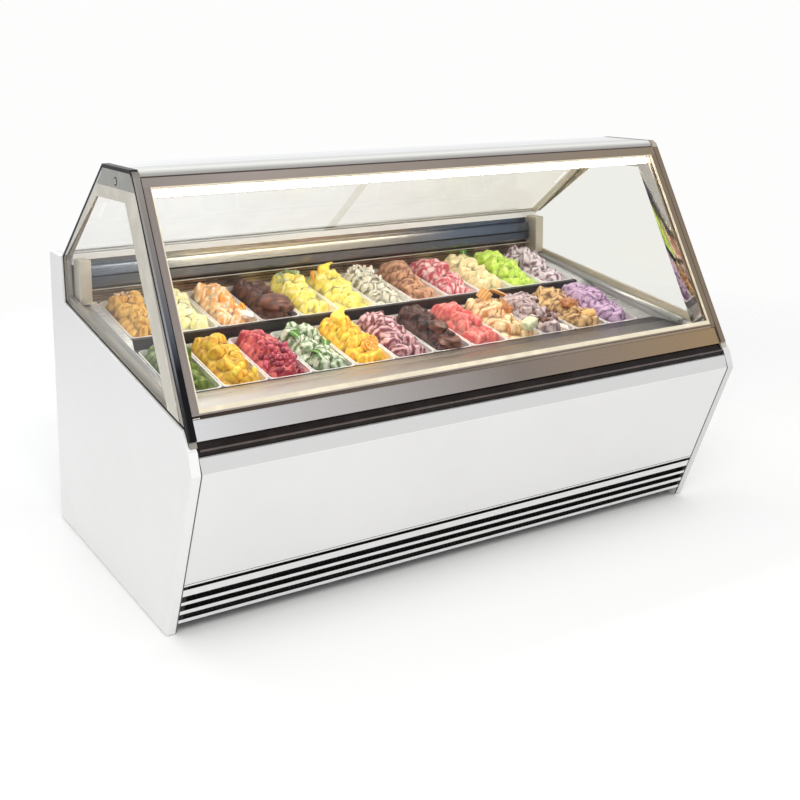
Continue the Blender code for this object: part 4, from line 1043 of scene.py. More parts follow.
FLAVOURS = {
    # row and number: name, slot, main and ripple display colours, ripple share, heap settings
    ("back", 1): ("caramel_nut", "gelato_yellow", (240, 194, 100), (206, 142, 52), 0.35, {"lobes": 17}),
    ("back", 2): ("lemon", "gelato_pale", (246, 238, 165), (250, 246, 210), 0.5, {"size": 0.9}),
    ("back", 3): ("peach_ripple", "gelato_yellow", (244, 178, 104), (250, 228, 198), 0.5,
        {"ribs": 1.2, "lobes": 18}),
    ("back", 4): ("cocoa", "gelato_brown", (108, 72, 60), (70, 42, 36), 0.5, {"size": 1.15, "lobes": 13}),
    ("back", 5): ("pineapple", "gelato_yellow", (246, 224, 100), (250, 238, 160), 0.4, {"lobes": 18}),
    ("back", 6): ("mango", "gelato_yellow", (248, 228, 108), (252, 240, 160), 0.4, {"lobes": 18}),
    ("back", 7): ("vanilla_seed", "gelato_pale", (232, 230, 212), (128, 118, 96), 0.3,
        {"size": 0.85, "lobes": 20}),
    ("back", 8): ("hazelnut", "gelato_brown", (212, 164, 130), (146, 98, 76), 0.45, {"lobes": 14}),
    ("back", 9): ("strawberry_ripple", "gelato_red", (242, 208, 206), (200, 84, 96), 0.6, {"ribs": 1.2}),
    ("back", 10): ("pistachio_cream", "gelato_pale", (236, 214, 160), (244, 236, 190), 0.4, {"lobes": 18}),
    ("back", 11): ("lime", "gelato_green", (214, 234, 124), (184, 222, 74), 0.5, {"lobes": 18}),
    ("back", 12): ("blueberry_yoghurt", "gelato_pale", (230, 220, 226), (126, 88, 104), 0.42,
        {"ribs": 1.2}),
    ("front", 1): ("green_tea", "gelato_green", (134, 154, 66), (84, 106, 40), 0.5, {"lobes": 15}),
    ("front", 2): ("saffron", "gelato_yellow", (242, 200, 74), (208, 146, 42), 0.35,
        {"size": 1.08, "lobes": 13}),
    ("front", 3): ("raspberry", "gelato_red", (226, 116, 114), (160, 44, 66), 0.45, {"lobes": 14}),
    ("front", 4): ("mint_leaf", "gelato_green", (222, 230, 208), (84, 116, 62), 0.48, {"ribs": 1.1}),
    ("front", 5): ("orange", "gelato_yellow", (252, 214, 76), (246, 164, 54), 0.35, {"lobes": 17}),
    ("front", 6): ("forest_ripple", "gelato_red", (230, 188, 192), (120, 56, 72), 0.5,
        {"lobes": 18, "ribs": 1.2}),
    ("front", 7): ("dark_chocolate", "gelato_brown", (92, 56, 52), (52, 31, 30), 0.5,
        {"size": 1.12, "lobes": 12}),
    ("front", 8): ("cherry", "gelato_red", (224, 104, 102), (240, 156, 144), 0.35,
        {"size": 1.1, "lobes": 13}),
    ("front", 9): ("toffee_wafer", "gelato_pale", (246, 224, 178), (206, 146, 94), 0.4, {"size": 1.05}),
    ("front", 10): ("cookie", "gelato_purple", (204, 186, 186), (122, 96, 104), 0.42, {"lobes": 17}),
    ("front", 11): ("coffee_swirl", "gelato_brown", (224, 186, 132), (122, 82, 52), 0.4, {"size": 1.05}),
    ("front", 12): ("blackcurrant", "gelato_purple", (206, 176, 208), (126, 90, 130), 0.42,
        {"size": 1.12, "lobes": 14}),
}
HEAPS = {}


def fill_pans():
    for (row, number), (flavour, slot, light, dark, share, settings) in FLAVOURS.items():
        seed = number * 17 + (400 if row == "back" else 90)
        heap = Heap(seed, **settings)
        item = in_pan(heap.build(f"{row}_{number:02d}_{flavour}"), row, number)
        look = gelato_look(f"gelato_{flavour}", srgb(*light), srgb(*dark), share)
        finish_piece(item, look, f"{row}_pan_{number:02d}", 180.0)
        HEAPS[(row, number)] = heap


fill_pans()


# ---------------------------------------------------------------- toppings
def topping_look(name, first, second, roughness=0.45, grain=300.0, strength=0.3, **sockets):
    """Two colours led by the piece's own tone, with fine unevenness."""
    look = Look(name, first, roughness, **sockets)
    tone = look.attribute("tone")
    blotch = look.range(look.noise(160.0, detail=3.0), 0.3, 0.7, -0.12, 0.12)
    share = look.range(look.math("ADD", tone, blotch), 0.25, 0.75)
    look.paint(look.mix(share, first, second))
    look.set(Roughness=look.range(blotch, -0.12, 0.12, roughness - 0.08, roughness + 0.08))
    look.bump(look.noise(grain, detail=3.0), strength, 0.0008)
    return look.material


def lofted(name, bodies):
    """Closed bodies from rings of (x, y, z, tone); each body's first and last rings are capped."""
    verts, tones, faces = [], [], []
    for rings in bodies:
        count = len(rings[0])
        start = len(verts)
        for ring in rings:
            for x, y, z, tone in ring:
                verts.append((x, y, z))
                tones.append(tone)
        for r in range(len(rings) - 1):
            for i in range(count):
                j = (i + 1) % count
                a, b = start + r * count, start + (r + 1) * count
                faces.append((a + i, a + j, b + j, b + i))
        faces.append(tuple(start + i for i in reversed(range(count))))
        last = start + (len(rings) - 1) * count
        faces.append(tuple(last + i for i in range(count)))
    mesh = bpy.data.meshes.new(name)
    mesh.from_pydata(verts, [], faces)
    mesh.attributes.new("tone", "FLOAT", "POINT").data.foreach_set("value", tones)
    bm = bmesh.new()
    bm.from_mesh(mesh)
    bmesh.ops.recalc_face_normals(bm, faces=bm.faces)
    bm.to_mesh(mesh)
    bm.free()
    return add_object(name, mesh)


def circle(count, radius, z, centre=(0.0, 0.0), tone=0.0, lobes=0, depth=0.0, twist=0.0):
    ring = []
    for k in range(count):
        a = 2.0 * math.pi * k / count
        r = radius * (1.0 + depth * math.sin(lobes * a + twist))
        ring.append((centre[0] + r * math.cos(a), centre[1] + r * math.sin(a), z, tone))
    return ring


def berry_rings(rng, centre, size, tone):
    """A dimpled berry, its rings turned into place."""
    turn = Matrix.Rotation(rng.uniform(0, 6.28), 3, "Z") @ Matrix.Rotation(rng.uniform(-1.2, 1.2), 3, "X")
    stretch = rng.uniform(1.0, 1.5)
    rings = []
    for k in range(9):
        a = math.pi * (k + 0.35) / 8.7
        dent = 0.78 if k == 0 else 1.0
        ring = []
        round_face = circle(14, size * math.sin(a), size * math.cos(a) * dent * stretch, lobes=5,
            depth=0.05)
        for x, y, z, _ in round_face:
            place = turn @ Vector((x, y, z)) + Vector(centre)
            ring.append((*place, tone + rng.uniform(-0.1, 0.1)))
        rings.append(ring)
    return rings


def scatter(row, number, name, count, area, sizes, material, seed, sink=0.2, tones=(0.1, 0.9)):
    """Berries, nuts or crumbs lying on a heap; area is (x low, x high, y low, y high) in the pan."""
    rng = random.Random(seed)
    heap = HEAPS[(row, number)]
    bodies = []
    for _ in range(count):
        x, y = rng.uniform(area[0], area[1]), rng.uniform(area[2], area[3])
        size = rng.uniform(*sizes)
        z = heap.height(x, y) + size * (1.0 - sink)
        bodies.append(berry_rings(rng, (x, y - 0.004, z), size, rng.uniform(*tones)))
    item = in_pan(lofted(f"{row}_{number:02d}_{name}", bodies), row, number)
    return finish_piece(item, material, f"{row}_pan_{number:02d}", 180.0)


def chunk(row, number, name, place, size, turn, material, power=0.35, wobble=0.06, seed=1):
    """A rough block with soft edges."""
    rng = random.Random(seed)
    phase = [rng.uniform(0, 6.28) for _ in range(4)]
    rings = []
    for k in range(13):
        a = math.pi * (k + 0.3) / 12.6
        high, wide = math.cos(a), math.sin(a)
        z = math.copysign(abs(high) ** power, high)
        w = wide ** power
        ring = []
        for i in range(28):
            b = 2.0 * math.pi * i / 28
            cx, cy = math.cos(b), math.sin(b)
            x = math.copysign(abs(cx) ** power, cx) * w
            y = math.copysign(abs(cy) ** power, cy) * w
            swell = math.sin(3 * x + phase[0] + 4 * y) * math.cos(5 * z + phase[1])
            rough = 1.0 + wobble * (swell + 0.4 * math.sin(11 * x + phase[2]))
            tone = 0.5 + 0.4 * math.sin(6 * x + phase[3]) * math.sin(5 * y + 3 * z)
            ring.append((x * size[0] / 2 * rough, y * size[1] / 2 * rough, z * size[2] / 2 * rough, tone))
        rings.append(ring)
    return set_lofted(rings, row, number, name, place, turn, material)


def set_topping(item, row, number, place, turn, material, angle=50.0):
    x, y, lift = place
    z = HEAPS[(row, number)].height(x, y) + lift
    in_pan(item, row, number, (x, y - 0.005, z), turn)
    return finish_piece(item, material, f"{row}_pan_{number:02d}", angle)


def set_lofted(rings, row, number, name, place, turn, material, angle=50.0):
    item = lofted(f"{row}_{number:02d}_{name}", [rings])
    return set_topping(item, row, number, place, turn, material, angle)


def wafer(row, number, name, place, size, turn):
    """Thin waffle biscuit with a sunk grid on both faces."""
    nx, ny = 25, 17
    bm = bmesh.new()
    tones = bm.verts.layers.float.new("tone")
    sheets = []
    for face in (1, -1):
        sheet = []
        for i in range(nx):
            column = []
            for j in range(ny):
                raised = (i % 4 == 0) or (j % 4 == 0)
                z = face * (size[2] / 2 if raised else size[2] / 2 - 0.0011)
                bend = 0.0025 * math.sin(math.pi * i / (nx - 1))
                x, y = (i / (nx - 1) - 0.5) * size[0], (j / (ny - 1) - 0.5) * size[1]
                vert = bm.verts.new((x, y, z + bend))
                vert[tones] = 0.15 if raised else 0.85
                column.append(vert)
            sheet.append(column)
        sheets.append(sheet)
        for i in range(nx - 1):
            for j in range(ny - 1):
                bm.faces.new((sheet[i][j], sheet[i + 1][j], sheet[i + 1][j + 1], sheet[i][j + 1]))
    border = [(i, 0) for i in range(nx)] + [(nx - 1, j) for j in range(1, ny)]
    border += [(i, ny - 1) for i in range(nx - 2, -1, -1)] + [(0, j) for j in range(ny - 2, 0, -1)]
    for k, (i, j) in enumerate(border):
        m, n = border[(k + 1) % len(border)]
        bm.faces.new((sheets[0][i][j], sheets[0][m][n], sheets[1][m][n], sheets[1][i][j]))
    return set_topping(from_bmesh(f"{row}_{number:02d}_{name}", bm), row, number, place, turn, WAFER,
        25.0)


def citrus(row, number, name, place, radius, turn):
    """Half an orange: rind below, cut face with segments above."""
    rings = []
    for k in range(10):
        a = math.pi / 2 * (k + 0.2) / 9.4
        rings.append(circle(48, radius * math.sin(a), -radius * 0.9 * math.cos(a), tone=0.0))
    rings.append(circle(48, radius * 0.985, 0.0012, tone=0.1))
    rings.append(circle(48, radius * 0.90, 0.0012, tone=1.0))
    for share in (0.82, 0.5, 0.22, 0.08):
        ring = []
        for i in range(48):
            b = 2.0 * math.pi * i / 48
            wall = abs(math.sin(b * 4.5)) < 0.22
            z = 0.0014 if wall or share < 0.1 else 0.0002
            tone = 1.0 if wall or share < 0.1 else 0.3
            ring.append((radius * share * math.cos(b), radius * share * math.sin(b), z, tone))
        rings.append(ring)
    return set_lofted(rings, row, number, name, place, turn, ORANGE)


def wedge(row, number, name, place, radius, thick, turn):
    """A bent fruit slice standing on edge."""
    flank = ((0.0, 1.0, 0.3), (0.5, 1.0, 0.3), (0.92, 1.0, 0.9), (1.0, 0.6, 0.0))
    section = [(dr, -dz, tone) for dr, dz, tone in flank] + list(reversed(flank))
    rings = []
    steps = 17
    for k in range(steps):
        a = math.pi * (0.04 + 0.92 * k / (steps - 1))
        half = thick / 2 * math.sin(a) ** 0.4
        inner = radius * 0.35
        ring = []
        for dr, dz, tone in section:
            r = inner + (radius - inner) * dr
            ring.append((r * math.cos(a), half * dz, r * math.sin(a), tone))
        rings.append(ring)
    return set_lofted(rings, row, number, name, place, turn, ORANGE)


def leaf(row, number, name, place, length, width, turn, curl=0.25):
    """A thin pointed leaf with a midrib and a curl along its length."""
    rings = []
    for k in range(19):
        t = k / 18
        half = width / 2 * math.sin(math.pi * min(0.985, max(0.015, t))) ** 0.75 * (1.15 - 0.4 * t)
        drop = -curl * length * (t - 0.45) ** 2
        ring = []
        for u in (-1.0, -0.6, -0.25, 0.0, 0.25, 0.6, 1.0):
            edge = 0.10 * math.sin(t * 40.0) * abs(u)
            z = drop + 0.18 * half * abs(u) ** 1.3 + 0.0012 * math.sin(t * 45.0 - abs(u) * 5.0) * abs(u)
            tone = 0.9 if abs(u) < 0.1 else 0.2 + 0.15 * math.sin(t * 45.0)
            ring.append((half * u * (1.0 + edge), t * length, z, tone))
        under = [(x, y, z - 0.0009, tone) for x, y, z, tone in reversed(ring)]
        rings.append(ring + under)
    return set_lofted(rings, row, number, name, place, turn, LEAF, 60.0)


def roll(row, number, name, place, radius, length, turn):
    """A biscuit roll whose wound edge shows on its ends."""
    outline = []
    steps = 72
    for k in range(steps + 1):
        t = k / steps
        a = 2.0 * math.pi * 2.6 * t
        outline.append((math.cos(a), math.sin(a), 0.25 + 0.75 * t))
    outer = [(radius * r * x, radius * r * y, 0.15) for x, y, r in outline]
    inner = [((radius * r - 0.0022) * x, (radius * r - 0.0022) * y, 0.8) for x, y, r in reversed(outline)]
    rings = []
    for k in range(7):
        t = k / 6
        swell = 1.0 + 0.05 * math.sin(math.pi * t)
        rings.append([(x * swell, y * swell, (t - 0.5) * length, tone) for x, y, tone in outer + inner])
    return set_lofted(rings, row, number, name, place, turn, WAFER)


def peak(row, number, name, place, radius, height, turn, material, slot, lobes=7, depth=0.13, bend=0.35):
    """A piped or pulled-up peak with twisting ridges."""
    rings = []
    for k in range(19):
        t = k / 18
        r = radius * (1.0 - t) ** 0.8 * (1.0 + 0.35 * math.sin(math.pi * min(1.0, t * 1.8))) + 0.0008
        centre = (bend * height * t * t, 0.12 * height * math.sin(3.0 * t))
        rings.append(circle(36, r, height * t, centre, 0.3 + 0.4 * math.sin(8 * t), lobes, depth, 3.2 * t))
    return set_lofted(rings, row, number, name, place, turn, material, 60.0)


WAFER = topping_look("topping_wafer", srgb(226, 178, 112), srgb(176, 116, 62), 0.6, 500.0, 0.3)
ORANGE = topping_look("topping_orange", srgb(244, 148, 36), srgb(252, 214, 120), 0.3, 420.0, 0.35,
    Coat_Weight=0.3, Coat_Roughness=0.15)
LEAF = topping_look("topping_leaf", srgb(64, 108, 44), srgb(160, 196, 96), 0.4, 500.0, 0.2, Coat_Weight=0.2)
BERRY = topping_look("topping_berry", srgb(122, 26, 48), srgb(196, 84, 104), 0.18, 300.0, 0.15,
    Coat_Weight=0.6, Coat_Roughness=0.08)
NUT = topping_look("topping_nut", srgb(236, 214, 176), srgb(168, 118, 74), 0.5)
MINT_BLOCK = topping_look("topping_pale_block", srgb(226, 226, 190), srgb(196, 200, 160), 0.5)
CHEW = topping_look("topping_cream", srgb(250, 244, 236), srgb(232, 206, 186), 0.45, 260.0, 0.3)
TOFFEE = topping_look("topping_toffee", srgb(150, 84, 44), srgb(206, 140, 84), 0.3, 260.0, 0.3,
    Coat_Weight=0.4)
COCOA = topping_look("topping_chocolate", srgb(74, 42, 36), srgb(128, 84, 66), 0.38, 220.0, 0.4,
    Coat_Weight=0.2)
YELLOW = topping_look("topping_yellow", srgb(252, 226, 92), srgb(242, 178, 60), 0.38, 220.0, 0.3)
PALE_GREEN = topping_look("topping_pale_green", srgb(196, 206, 168), srgb(120, 140, 90), 0.45, 240.0, 0.4)


def add_toppings():
    dark, fruit, biscuit = "topping_dark", "topping_fruit", "topping_wafer"
    scatter("back", 1, "nuts", 16, (-0.05, 0.02, 0.24, 0.31), (0.004, 0.007), NUT, 11)
    chunk("back", 3, "cream_dab", (0.030, 0.035, 0.006), (0.052, 0.050, 0.026), (0, 8, 20), CHEW,
        0.75, 0.14, 3)
    wedge("back", 3, "peach_slice_1", (-0.012, 0.16, -0.012), 0.032, 0.009, (0, 0, 60))
    wedge("back", 3, "peach_slice_2", (0.016, 0.12, -0.012), 0.030, 0.009, (0, 0, 75))
    wedge("back", 3, "peach_slice_3", (0.038, 0.085, -0.010), 0.028, 0.009, (0, 0, 95))
    chunk("back", 4, "smooth_scoop_1", (0.004, 0.085, 0.002), (0.112, 0.125, 0.062), (-8, 0, 18), COCOA,
        0.85, 0.05, 5)
    chunk("back", 4, "smooth_scoop_2", (0.024, 0.045, 0.004), (0.078, 0.070, 0.044), (-10, 6, -12), COCOA,
        0.85, 0.05, 6)
    scatter("back", 5, "pistachios", 26, (-0.045, 0.055, 0.26, 0.325), (0.004, 0.008), PALE_GREEN,
        21)
    wedge("back", 6, "orange_slice", (-0.045, 0.30, -0.004), 0.036, 0.010, (0, -18, 70))
    peak("back", 6, "pulled_peak", (-0.012, 0.285, -0.012), 0.024, 0.052, (8, 14, 0), YELLOW, fruit, 4,
        0.10, 0.5)
    scatter("back", 7, "sugar_drops", 34, (-0.05, 0.05, 0.17, 0.32), (0.003, 0.0065), CHEW, 31)
    leaf("back", 10, "leaf_1", (0.010, 0.27, 0.012), 0.085, 0.042, (-6, 10, -70), 0.9)
    leaf("back", 10, "leaf_2", (0.020, 0.29, 0.006), 0.070, 0.034, (0, -8, -35), 0.7)
    scatter("front", 3, "dark_berries", 58, (-0.055, 0.055, 0.03, 0.17), (0.006, 0.0105), BERRY, 41,
        0.25)
    leaf("front", 4, "leaf_1", (-0.035, 0.20, 0.004), 0.080, 0.036, (12, -12, 15), 0.8)
    leaf("front", 4, "leaf_2", (0.020, 0.12, 0.004), 0.085, 0.040, (10, 14, -25), 0.9)
    leaf("front", 4, "leaf_3", (-0.010, 0.07, 0.004), 0.070, 0.034, (6, 8, 40), 0.9)
    citrus("front", 5, "orange_half", (0.012, 0.075, 0.012), 0.027, (62, 0, 32))
    peak("front", 5, "pulled_peak", (-0.018, 0.265, -0.012), 0.026, 0.060, (4, 10, 20), YELLOW, fruit, 5,
        0.12, 0.4)
    wedge("front", 5, "peel_slice", (0.0, 0.24, -0.006), 0.026, 0.008, (0, 12, 85))
    chunk("front", 7, "dark_block_1", (-0.006, 0.115, 0.004), (0.070, 0.062, 0.040), (10, 14, 30), COCOA,
        0.6, 0.14, 7)
    chunk("front", 7, "dark_block_2", (0.004, 0.052, -0.008), (0.088, 0.076, 0.044), (-6, 4, -20), COCOA,
        0.6, 0.14, 8)
    wafer("front", 9, "wafer_1", (-0.006, 0.285, 0.014), (0.078, 0.050, 0.0050), (24, 10, 35))
    wafer("front", 9, "wafer_2", (0.026, 0.245, 0.020), (0.064, 0.046, 0.0050), (-18, 30, -30))
    wafer("front", 9, "wafer_3", (0.034, 0.205, 0.014), (0.050, 0.040, 0.0050), (40, 24, 70))
    chunk("front", 9, "toffee_block", (0.014, 0.160, 0.000), (0.050, 0.044, 0.040), (15, 20, 40), TOFFEE,
        0.5, 0.12, 9)
    chunk("front", 9, "pale_block", (0.026, 0.035, 0.010), (0.066, 0.046, 0.034), (0, -8, 24), MINT_BLOCK,
        0.3, 0.06, 10)
    chunk("front", 10, "pale_piece", (0.034, 0.040, 0.008), (0.044, 0.034, 0.026), (8, 0, -22), CHEW,
        0.5, 0.16, 12)
    scatter("front", 10, "cookie_bits", 16, (-0.05, 0.05, 0.06, 0.24), (0.005, 0.010), COCOA, 51)
    roll("front", 11, "biscuit_roll", (0.014, 0.065, 0.012), 0.024, 0.060, (0, 84, 28))
    chunk("front", 11, "toffee_fold", (-0.010, 0.150, 0.002), (0.074, 0.062, 0.040), (-14, 8, 22), TOFFEE,
        0.7, 0.18, 13)
    scatter("front", 2, "orange_pieces", 9, (-0.03, 0.05, 0.03, 0.12), (0.008, 0.013), YELLOW, 61,
        0.35)


add_toppings()


# ---------------------------------------------------------------- back, machinery and fittings
COPPER = brushed_metal("copper_pipe", (0.72, 0.38, 0.24), 0.25, streak=0.06, tone=0.12)
SCREEN = moulded("display_black", (0.010, 0.008, 0.010), 0.08, 900.0, 0.01, Coat_Weight=0.8,
    Coat_Roughness=0.02)
GLOW = lamp_look("display_red", (1.0, 0.06, 0.03), 1.6)

REAR_FACE = 0.6551          # y of the rear panel's outside
CONTROL_FACE = 0.6611       # y of the control panel's outside


def joined(name, items):
    """Merges pieces that share a material into one object before it is finished."""
    bm = bmesh.new()
    for item in items:
        bm.from_mesh(item.data)
        bpy.data.objects.remove(item)
    return from_bmesh(name, bm)


def screw_row(name, places, radius=0.0055):
    """Pan-head screws with a cross slot, lying on a plane of constant y."""
    profile = ((1.0, -0.0005), (1.0, 0.0006), (0.8, 0.0016), (0.45, 0.0020), (0.28, 0.0019), (0.16, 0.0010),
        (0.02, 0.0008))
    bodies = []
    for x, y, z in places:
        rings = []
        for share, height in profile:
            slotted = 0.22 if share < 0.3 else 0.0
            face = circle(24, radius * share, 0.0, lobes=4, depth=slotted)
            rings.append([(x + px, y + height, z + pz, 0.0) for px, pz, _, _ in face])
        bodies.append(rings)
    return finish_piece(lofted(name, bodies), CHROME)


def flat_ring(name, outer, inner, low, high, material):
    """A closed flat frame on a plane of constant y."""
    return finish_piece(rounded(loop_plate(name, outer, inner, low, high, "Y"), 0.0003, 1), material)


def rear_details():
    """Screws of the casing, and the frames round what the control panel holds."""
    edges = [(x, REAR_FACE, z) for x in (-1.050, -0.35, 0.35, 1.050) for z in (0.112, 0.995)]
    edges += [(x, REAR_FACE, z) for x in (-1.050, 1.050) for z in (0.40, 0.70)]
    screw_row("rear_panel_screws", edges)
    screw_row("control_panel_screws",
        [(x, CONTROL_FACE, z) for x in (0.568, 0.952) for z in (0.868, 0.952)], 0.0036)

    glass = box_outline(0.6905, 0.9065, 0.7415, 0.9315)
    window = rounded(swept("display_window", glass, 0.6602, 0.6612, "Y"), 0.0006, 2)
    finish_piece(window, SCREEN)
    bars = []
    for left in (0.7010, 0.7210):
        bar = swept("bar", box_outline(left, 0.9180, left + 0.0100, 0.9198), 0.6610, 0.6616, "Y")
        bars.append(rounded(bar, 0.0003, 1))
    finish_piece(joined("display_dashes", bars), GLOW)
    flat_ring("display_bezel", box_outline(0.6860, 0.9020, 0.7460, 0.9360), glass, 0.6608, 0.6622, DARK)
    socket, hole = box_outline(0.5840, 0.8940, 0.6220, 0.9260), box_outline(0.5880, 0.8980, 0.6180, 0.9220)
    flat_ring("inlet_collar", socket, hole, 0.6605, 0.6635, DARK)
    for x in (0.700, 0.730):
        outer, inner = ring_of((x, 0.892), 0.0078, 24), ring_of((x, 0.892), 0.0060, 24)
        flat_ring(f"button_collar_{x:.2f}", outer, inner, 0.6606, 0.6618, CHROME)
    for x, label in ((0.900, "power"), (0.850, "light")):
        outer = box_outline(x - 0.0150, 0.8930, x + 0.0150, 0.9275)
        inner = box_outline(x - 0.0118, 0.8962, x + 0.0118, 0.9245)
        flat_ring(f"{label}_switch_frame", outer, inner, 0.6606, 0.6622, DARK)


def return_bend(x, y_near, y_far, z, rise, reach):
    """A tube that leaves a coil's end and comes back to it."""
    if rise:
        far = (x + reach, y_near, z + rise / 2)
        path = [(x, y_near, z), (x + reach * 0.75, y_near, z), far, (x + reach * 0.75, y_near, z + rise),
            (x, y_near, z + rise)]
    else:
        middle = (y_near + y_far) / 2
        path = [(x, y_near, z), (x + reach, y_near, z), (x + reach, middle, z), (x + reach, y_far, z),
            (x, y_far, z)]
    return tube("bend", path, 0.005)


def fan_guard(name, centre, radius):
    """Wire rings and spokes, slightly domed, in front of a fan."""
    x, y, z = centre
    dome, spokes = 0.006, 6
    wires = []
    for share in (1.0, 0.78, 0.56, 0.34, 0.14):
        circle_points = ring_of((x, z), radius * share, 48)
        loop = [(px, y + dome * (1.0 - share), pz) for px, pz in circle_points + circle_points[:1]]
        wires.append(tube("wire", loop, 0.0014, 4))
    for px, pz in ring_of((x, z), radius, spokes):
        wires.append(tube("wire", [(x, y + dome, z), (px, y, pz)], 0.0016, 4))
    finish_piece(joined(name, wires), CHROME, smooth_angle=60.0)


def machinery_details():
    """Refrigerant pipes, coil bends, the compressor's terminal cover and the fan guards."""
    pipes = (
        ("suction_pipe", 0.0080,
         [(0.30, 0.06, 0.32), (0.30, 0.06, 0.37), (0.24, 0.02, 0.39), (0.05, -0.02, 0.395),
             (0.0, 0.0, 0.396)]),
        ("discharge_pipe", 0.0060,
         [(0.25, 0.10, 0.20), (0.20, 0.08, 0.20), (0.10, -0.05, 0.20), (-0.20, -0.12, 0.30),
             (-0.33, -0.20, 0.345)]),
        ("liquid_pipe", 0.0045,
         [(-0.33, -0.25, 0.11), (-0.25, -0.22, 0.11), (-0.10, -0.10, 0.12), (-0.02, -0.04, 0.30),
             (-0.02, -0.02, 0.398)]),
    )
    for name, radius, route in pipes:
        finish_piece(tube(name, route, radius), COPPER, smooth_angle=60.0)
    bends = [return_bend(-0.338, y, y, 0.115 + k * 0.042, 0.024, 0.016) for k in range(6) for y in (-0.20,
        -0.26)]
    finish_piece(joined("condenser_bends", bends), COPPER, smooth_angle=60.0)
    bends = [return_bend(sign * 0.990, 0.12, 0.18, 0.485 + k * 0.055, 0.0, sign * 0.014) for sign in (-1,
        1) for k in range(3)]
    finish_piece(joined("evaporator_bends", bends), COPPER, smooth_angle=60.0)
    cover = swept("compressor_terminal_cover", box_outline(0.205, 0.085, 0.236, 0.155), 0.180, 0.250, "Z")
    finish_piece(rounded(cover, 0.006, 3), DARK)
    fan_guard("evaporator_fan_guard", (-0.100, 0.3155, 0.552), 0.094)
    fan_guard("condenser_fan_guard", (-0.560, -0.1780, 0.228), 0.124)


def foot_details():
    """Hexagonal lock nuts on the feet's stems."""
    for k, (x, y) in enumerate(((-1.0445, -0.100), (1.0445, -0.100), (-1.0445, 0.620), (1.0445, 0.620))):
        nut = swept(f"foot_nut_{k + 1}", ring_of((x, y), 0.0105, 6), 0.0225, 0.0305, "Z")
        finish_piece(rounded(nut, 0.0010, 2), CHROME)


def lock_details():
    """Oval escutcheon on the left cap, and the face and key slot that turn with the lock."""
    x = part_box("glass_lock")[0].x
    y, z = -0.086, 1.373

    def turned(profile, base, wide, tall):
        rings = []
        for radius, out in profile:
            rings.append([(base - out, y + wide * a, z + tall * b, 0.0) for a,
                b in ring_of((0.0, 0.0), radius, 32)])
        return [rings]

    collar = ((0.0125, -0.0002), (0.0125, 0.0012), (0.0110, 0.0026), (0.0092, 0.0016), (0.0092, -0.0002))
    finish_piece(lofted("lock_escutcheon", turned(collar, x + 0.0022, 0.80, 1.15)), DARK)
    face = ((0.0002, -0.0001), (0.0074, -0.0001), (0.0074, 0.0006), (0.0060, 0.0010), (0.0002, 0.0010))
    finish_piece(lofted("lock_face", turned(face, x, 1.0, 1.0)), CHROME, "glass_lock")
    slot = box_outline(y - 0.0010, z - 0.0048, y + 0.0010, z + 0.0048)
    key = rounded(swept("lock_key_slot", slot, x - 0.0014, x - 0.0009), 0.0003, 1)
    finish_piece(key, DARK, "glass_lock")


rear_details()
machinery_details()
foot_details()
lock_details()


# ---------------------------------------------------------------- floor, light and camera
def stage_floor():
    mesh = bpy.data.meshes.new("floor")
    half = 30.0
    corners = [(x, y, 0) for x, y in box_outline(-half, -half, half, half)]
    mesh.from_pydata(corners, [], [(0, 1, 2, 3)])
    floor = add_object("floor", mesh)
    look = Look("floor_pale", (0.955, 0.955, 0.945), 0.75)
    look.set(**{"Specular IOR Level": 0.1})
    look.bump(look.noise(40.0), 0.02, 0.001)
    reach = look.tree.nodes.new("ShaderNodeVectorMath")
    reach.operation = "LENGTH"
    look.feed(reach.inputs[0], look.place)
    fade = look.range(reach.outputs["Value"], 2.2, 5.0)
    look.blend(fade, look.shader.outputs[0], look.node("BsdfTransparent").outputs[0])
    mesh.materials.append(look.material)


def add_area(name, place, target, size, power, colour=(1.0, 1.0, 1.0)):
    light = bpy.data.lights.new(name, "AREA")
    light.shape = "RECTANGLE"
    light.size, light.size_y = size
    light.energy = power
    light.color = colour
    item = add_object(name, light)
    item.matrix_world = look_at(Vector(place), Vector(target))
    return item


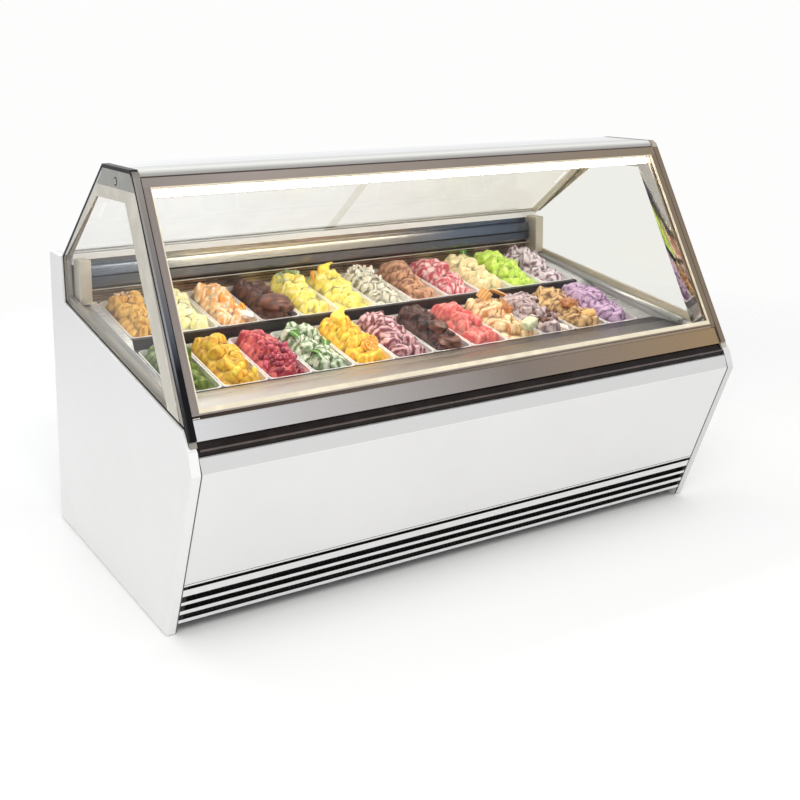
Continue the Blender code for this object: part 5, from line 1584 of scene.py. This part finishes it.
def look_at(place, target):
    back = (place - target).normalized()
    right = Vector((0, 0, 1)).cross(back).normalized()
    up = back.cross(right)
    turn = Matrix((right, up, back)).transposed().to_4x4()
    return Matrix.Translation(place) @ turn


def light_scene():
    world = bpy.data.worlds.new("studio")
    bpy.context.scene.world = world
    world.use_nodes = True
    tree = world.node_tree
    tree.nodes["Background"].inputs["Color"].default_value = (0.97, 0.98, 1.0, 1.0)
    tree.nodes["Background"].inputs["Strength"].default_value = 0.75
    seen = tree.nodes.new("ShaderNodeBackground")
    seen.inputs["Color"].default_value = (0.985, 0.985, 0.98, 1.0)
    seen.inputs["Strength"].default_value = 1.0
    path = tree.nodes.new("ShaderNodeLightPath")
    mix = tree.nodes.new("ShaderNodeMixShader")
    tree.links.new(path.outputs["Is Camera Ray"], mix.inputs[0])
    tree.links.new(tree.nodes["Background"].outputs[0], mix.inputs[1])
    tree.links.new(seen.outputs[0], mix.inputs[2])
    tree.links.new(mix.outputs[0], tree.nodes["World Output"].inputs["Surface"])
    add_area("key", (-2.5, -4.5, 4.5), (0, 0, 0.7), (3.5, 2.5), 150.0,
        (1.0, 0.99, 0.97)).visible_glossy = False
    add_area("overhead", (0.0, 0.0, 4.2), (0, 0, 0.8), (4.0, 3.0), 90.0)
    add_area("fill", (4.5, -2.5, 2.5), (0, 0, 0.8), (3.0, 2.0), 40.0,
        (1.0, 0.97, 0.93)).visible_glossy = False
    add_area("rear", (-1.5, 4.5, 3.0), (0, 0, 0.9), (4.0, 2.0), 60.0)


def add_camera():
    camera = bpy.data.cameras.new("camera")
    camera.sensor_width = 36.0
    camera.lens = 51.82
    camera.shift_x = 0.0275
    camera.shift_y = -0.215
    item = add_object("camera", camera)
    yaw, pitch, roll = (math.radians(a) for a in (31.499, 8.592, 0.193))
    turn = Matrix.Rotation(-yaw, 4, "Z") @ Matrix.Rotation(math.pi / 2 - pitch, 4,
        "X") @ Matrix.Rotation(-roll, 4, "Z")
    item.matrix_world = Matrix.Translation((-2.2693, -3.5865, 1.7660)) @ turn
    bpy.context.scene.camera = item


stage_floor()
light_scene()
add_camera()
bpy.context.scene.view_settings.view_transform = "Standard"
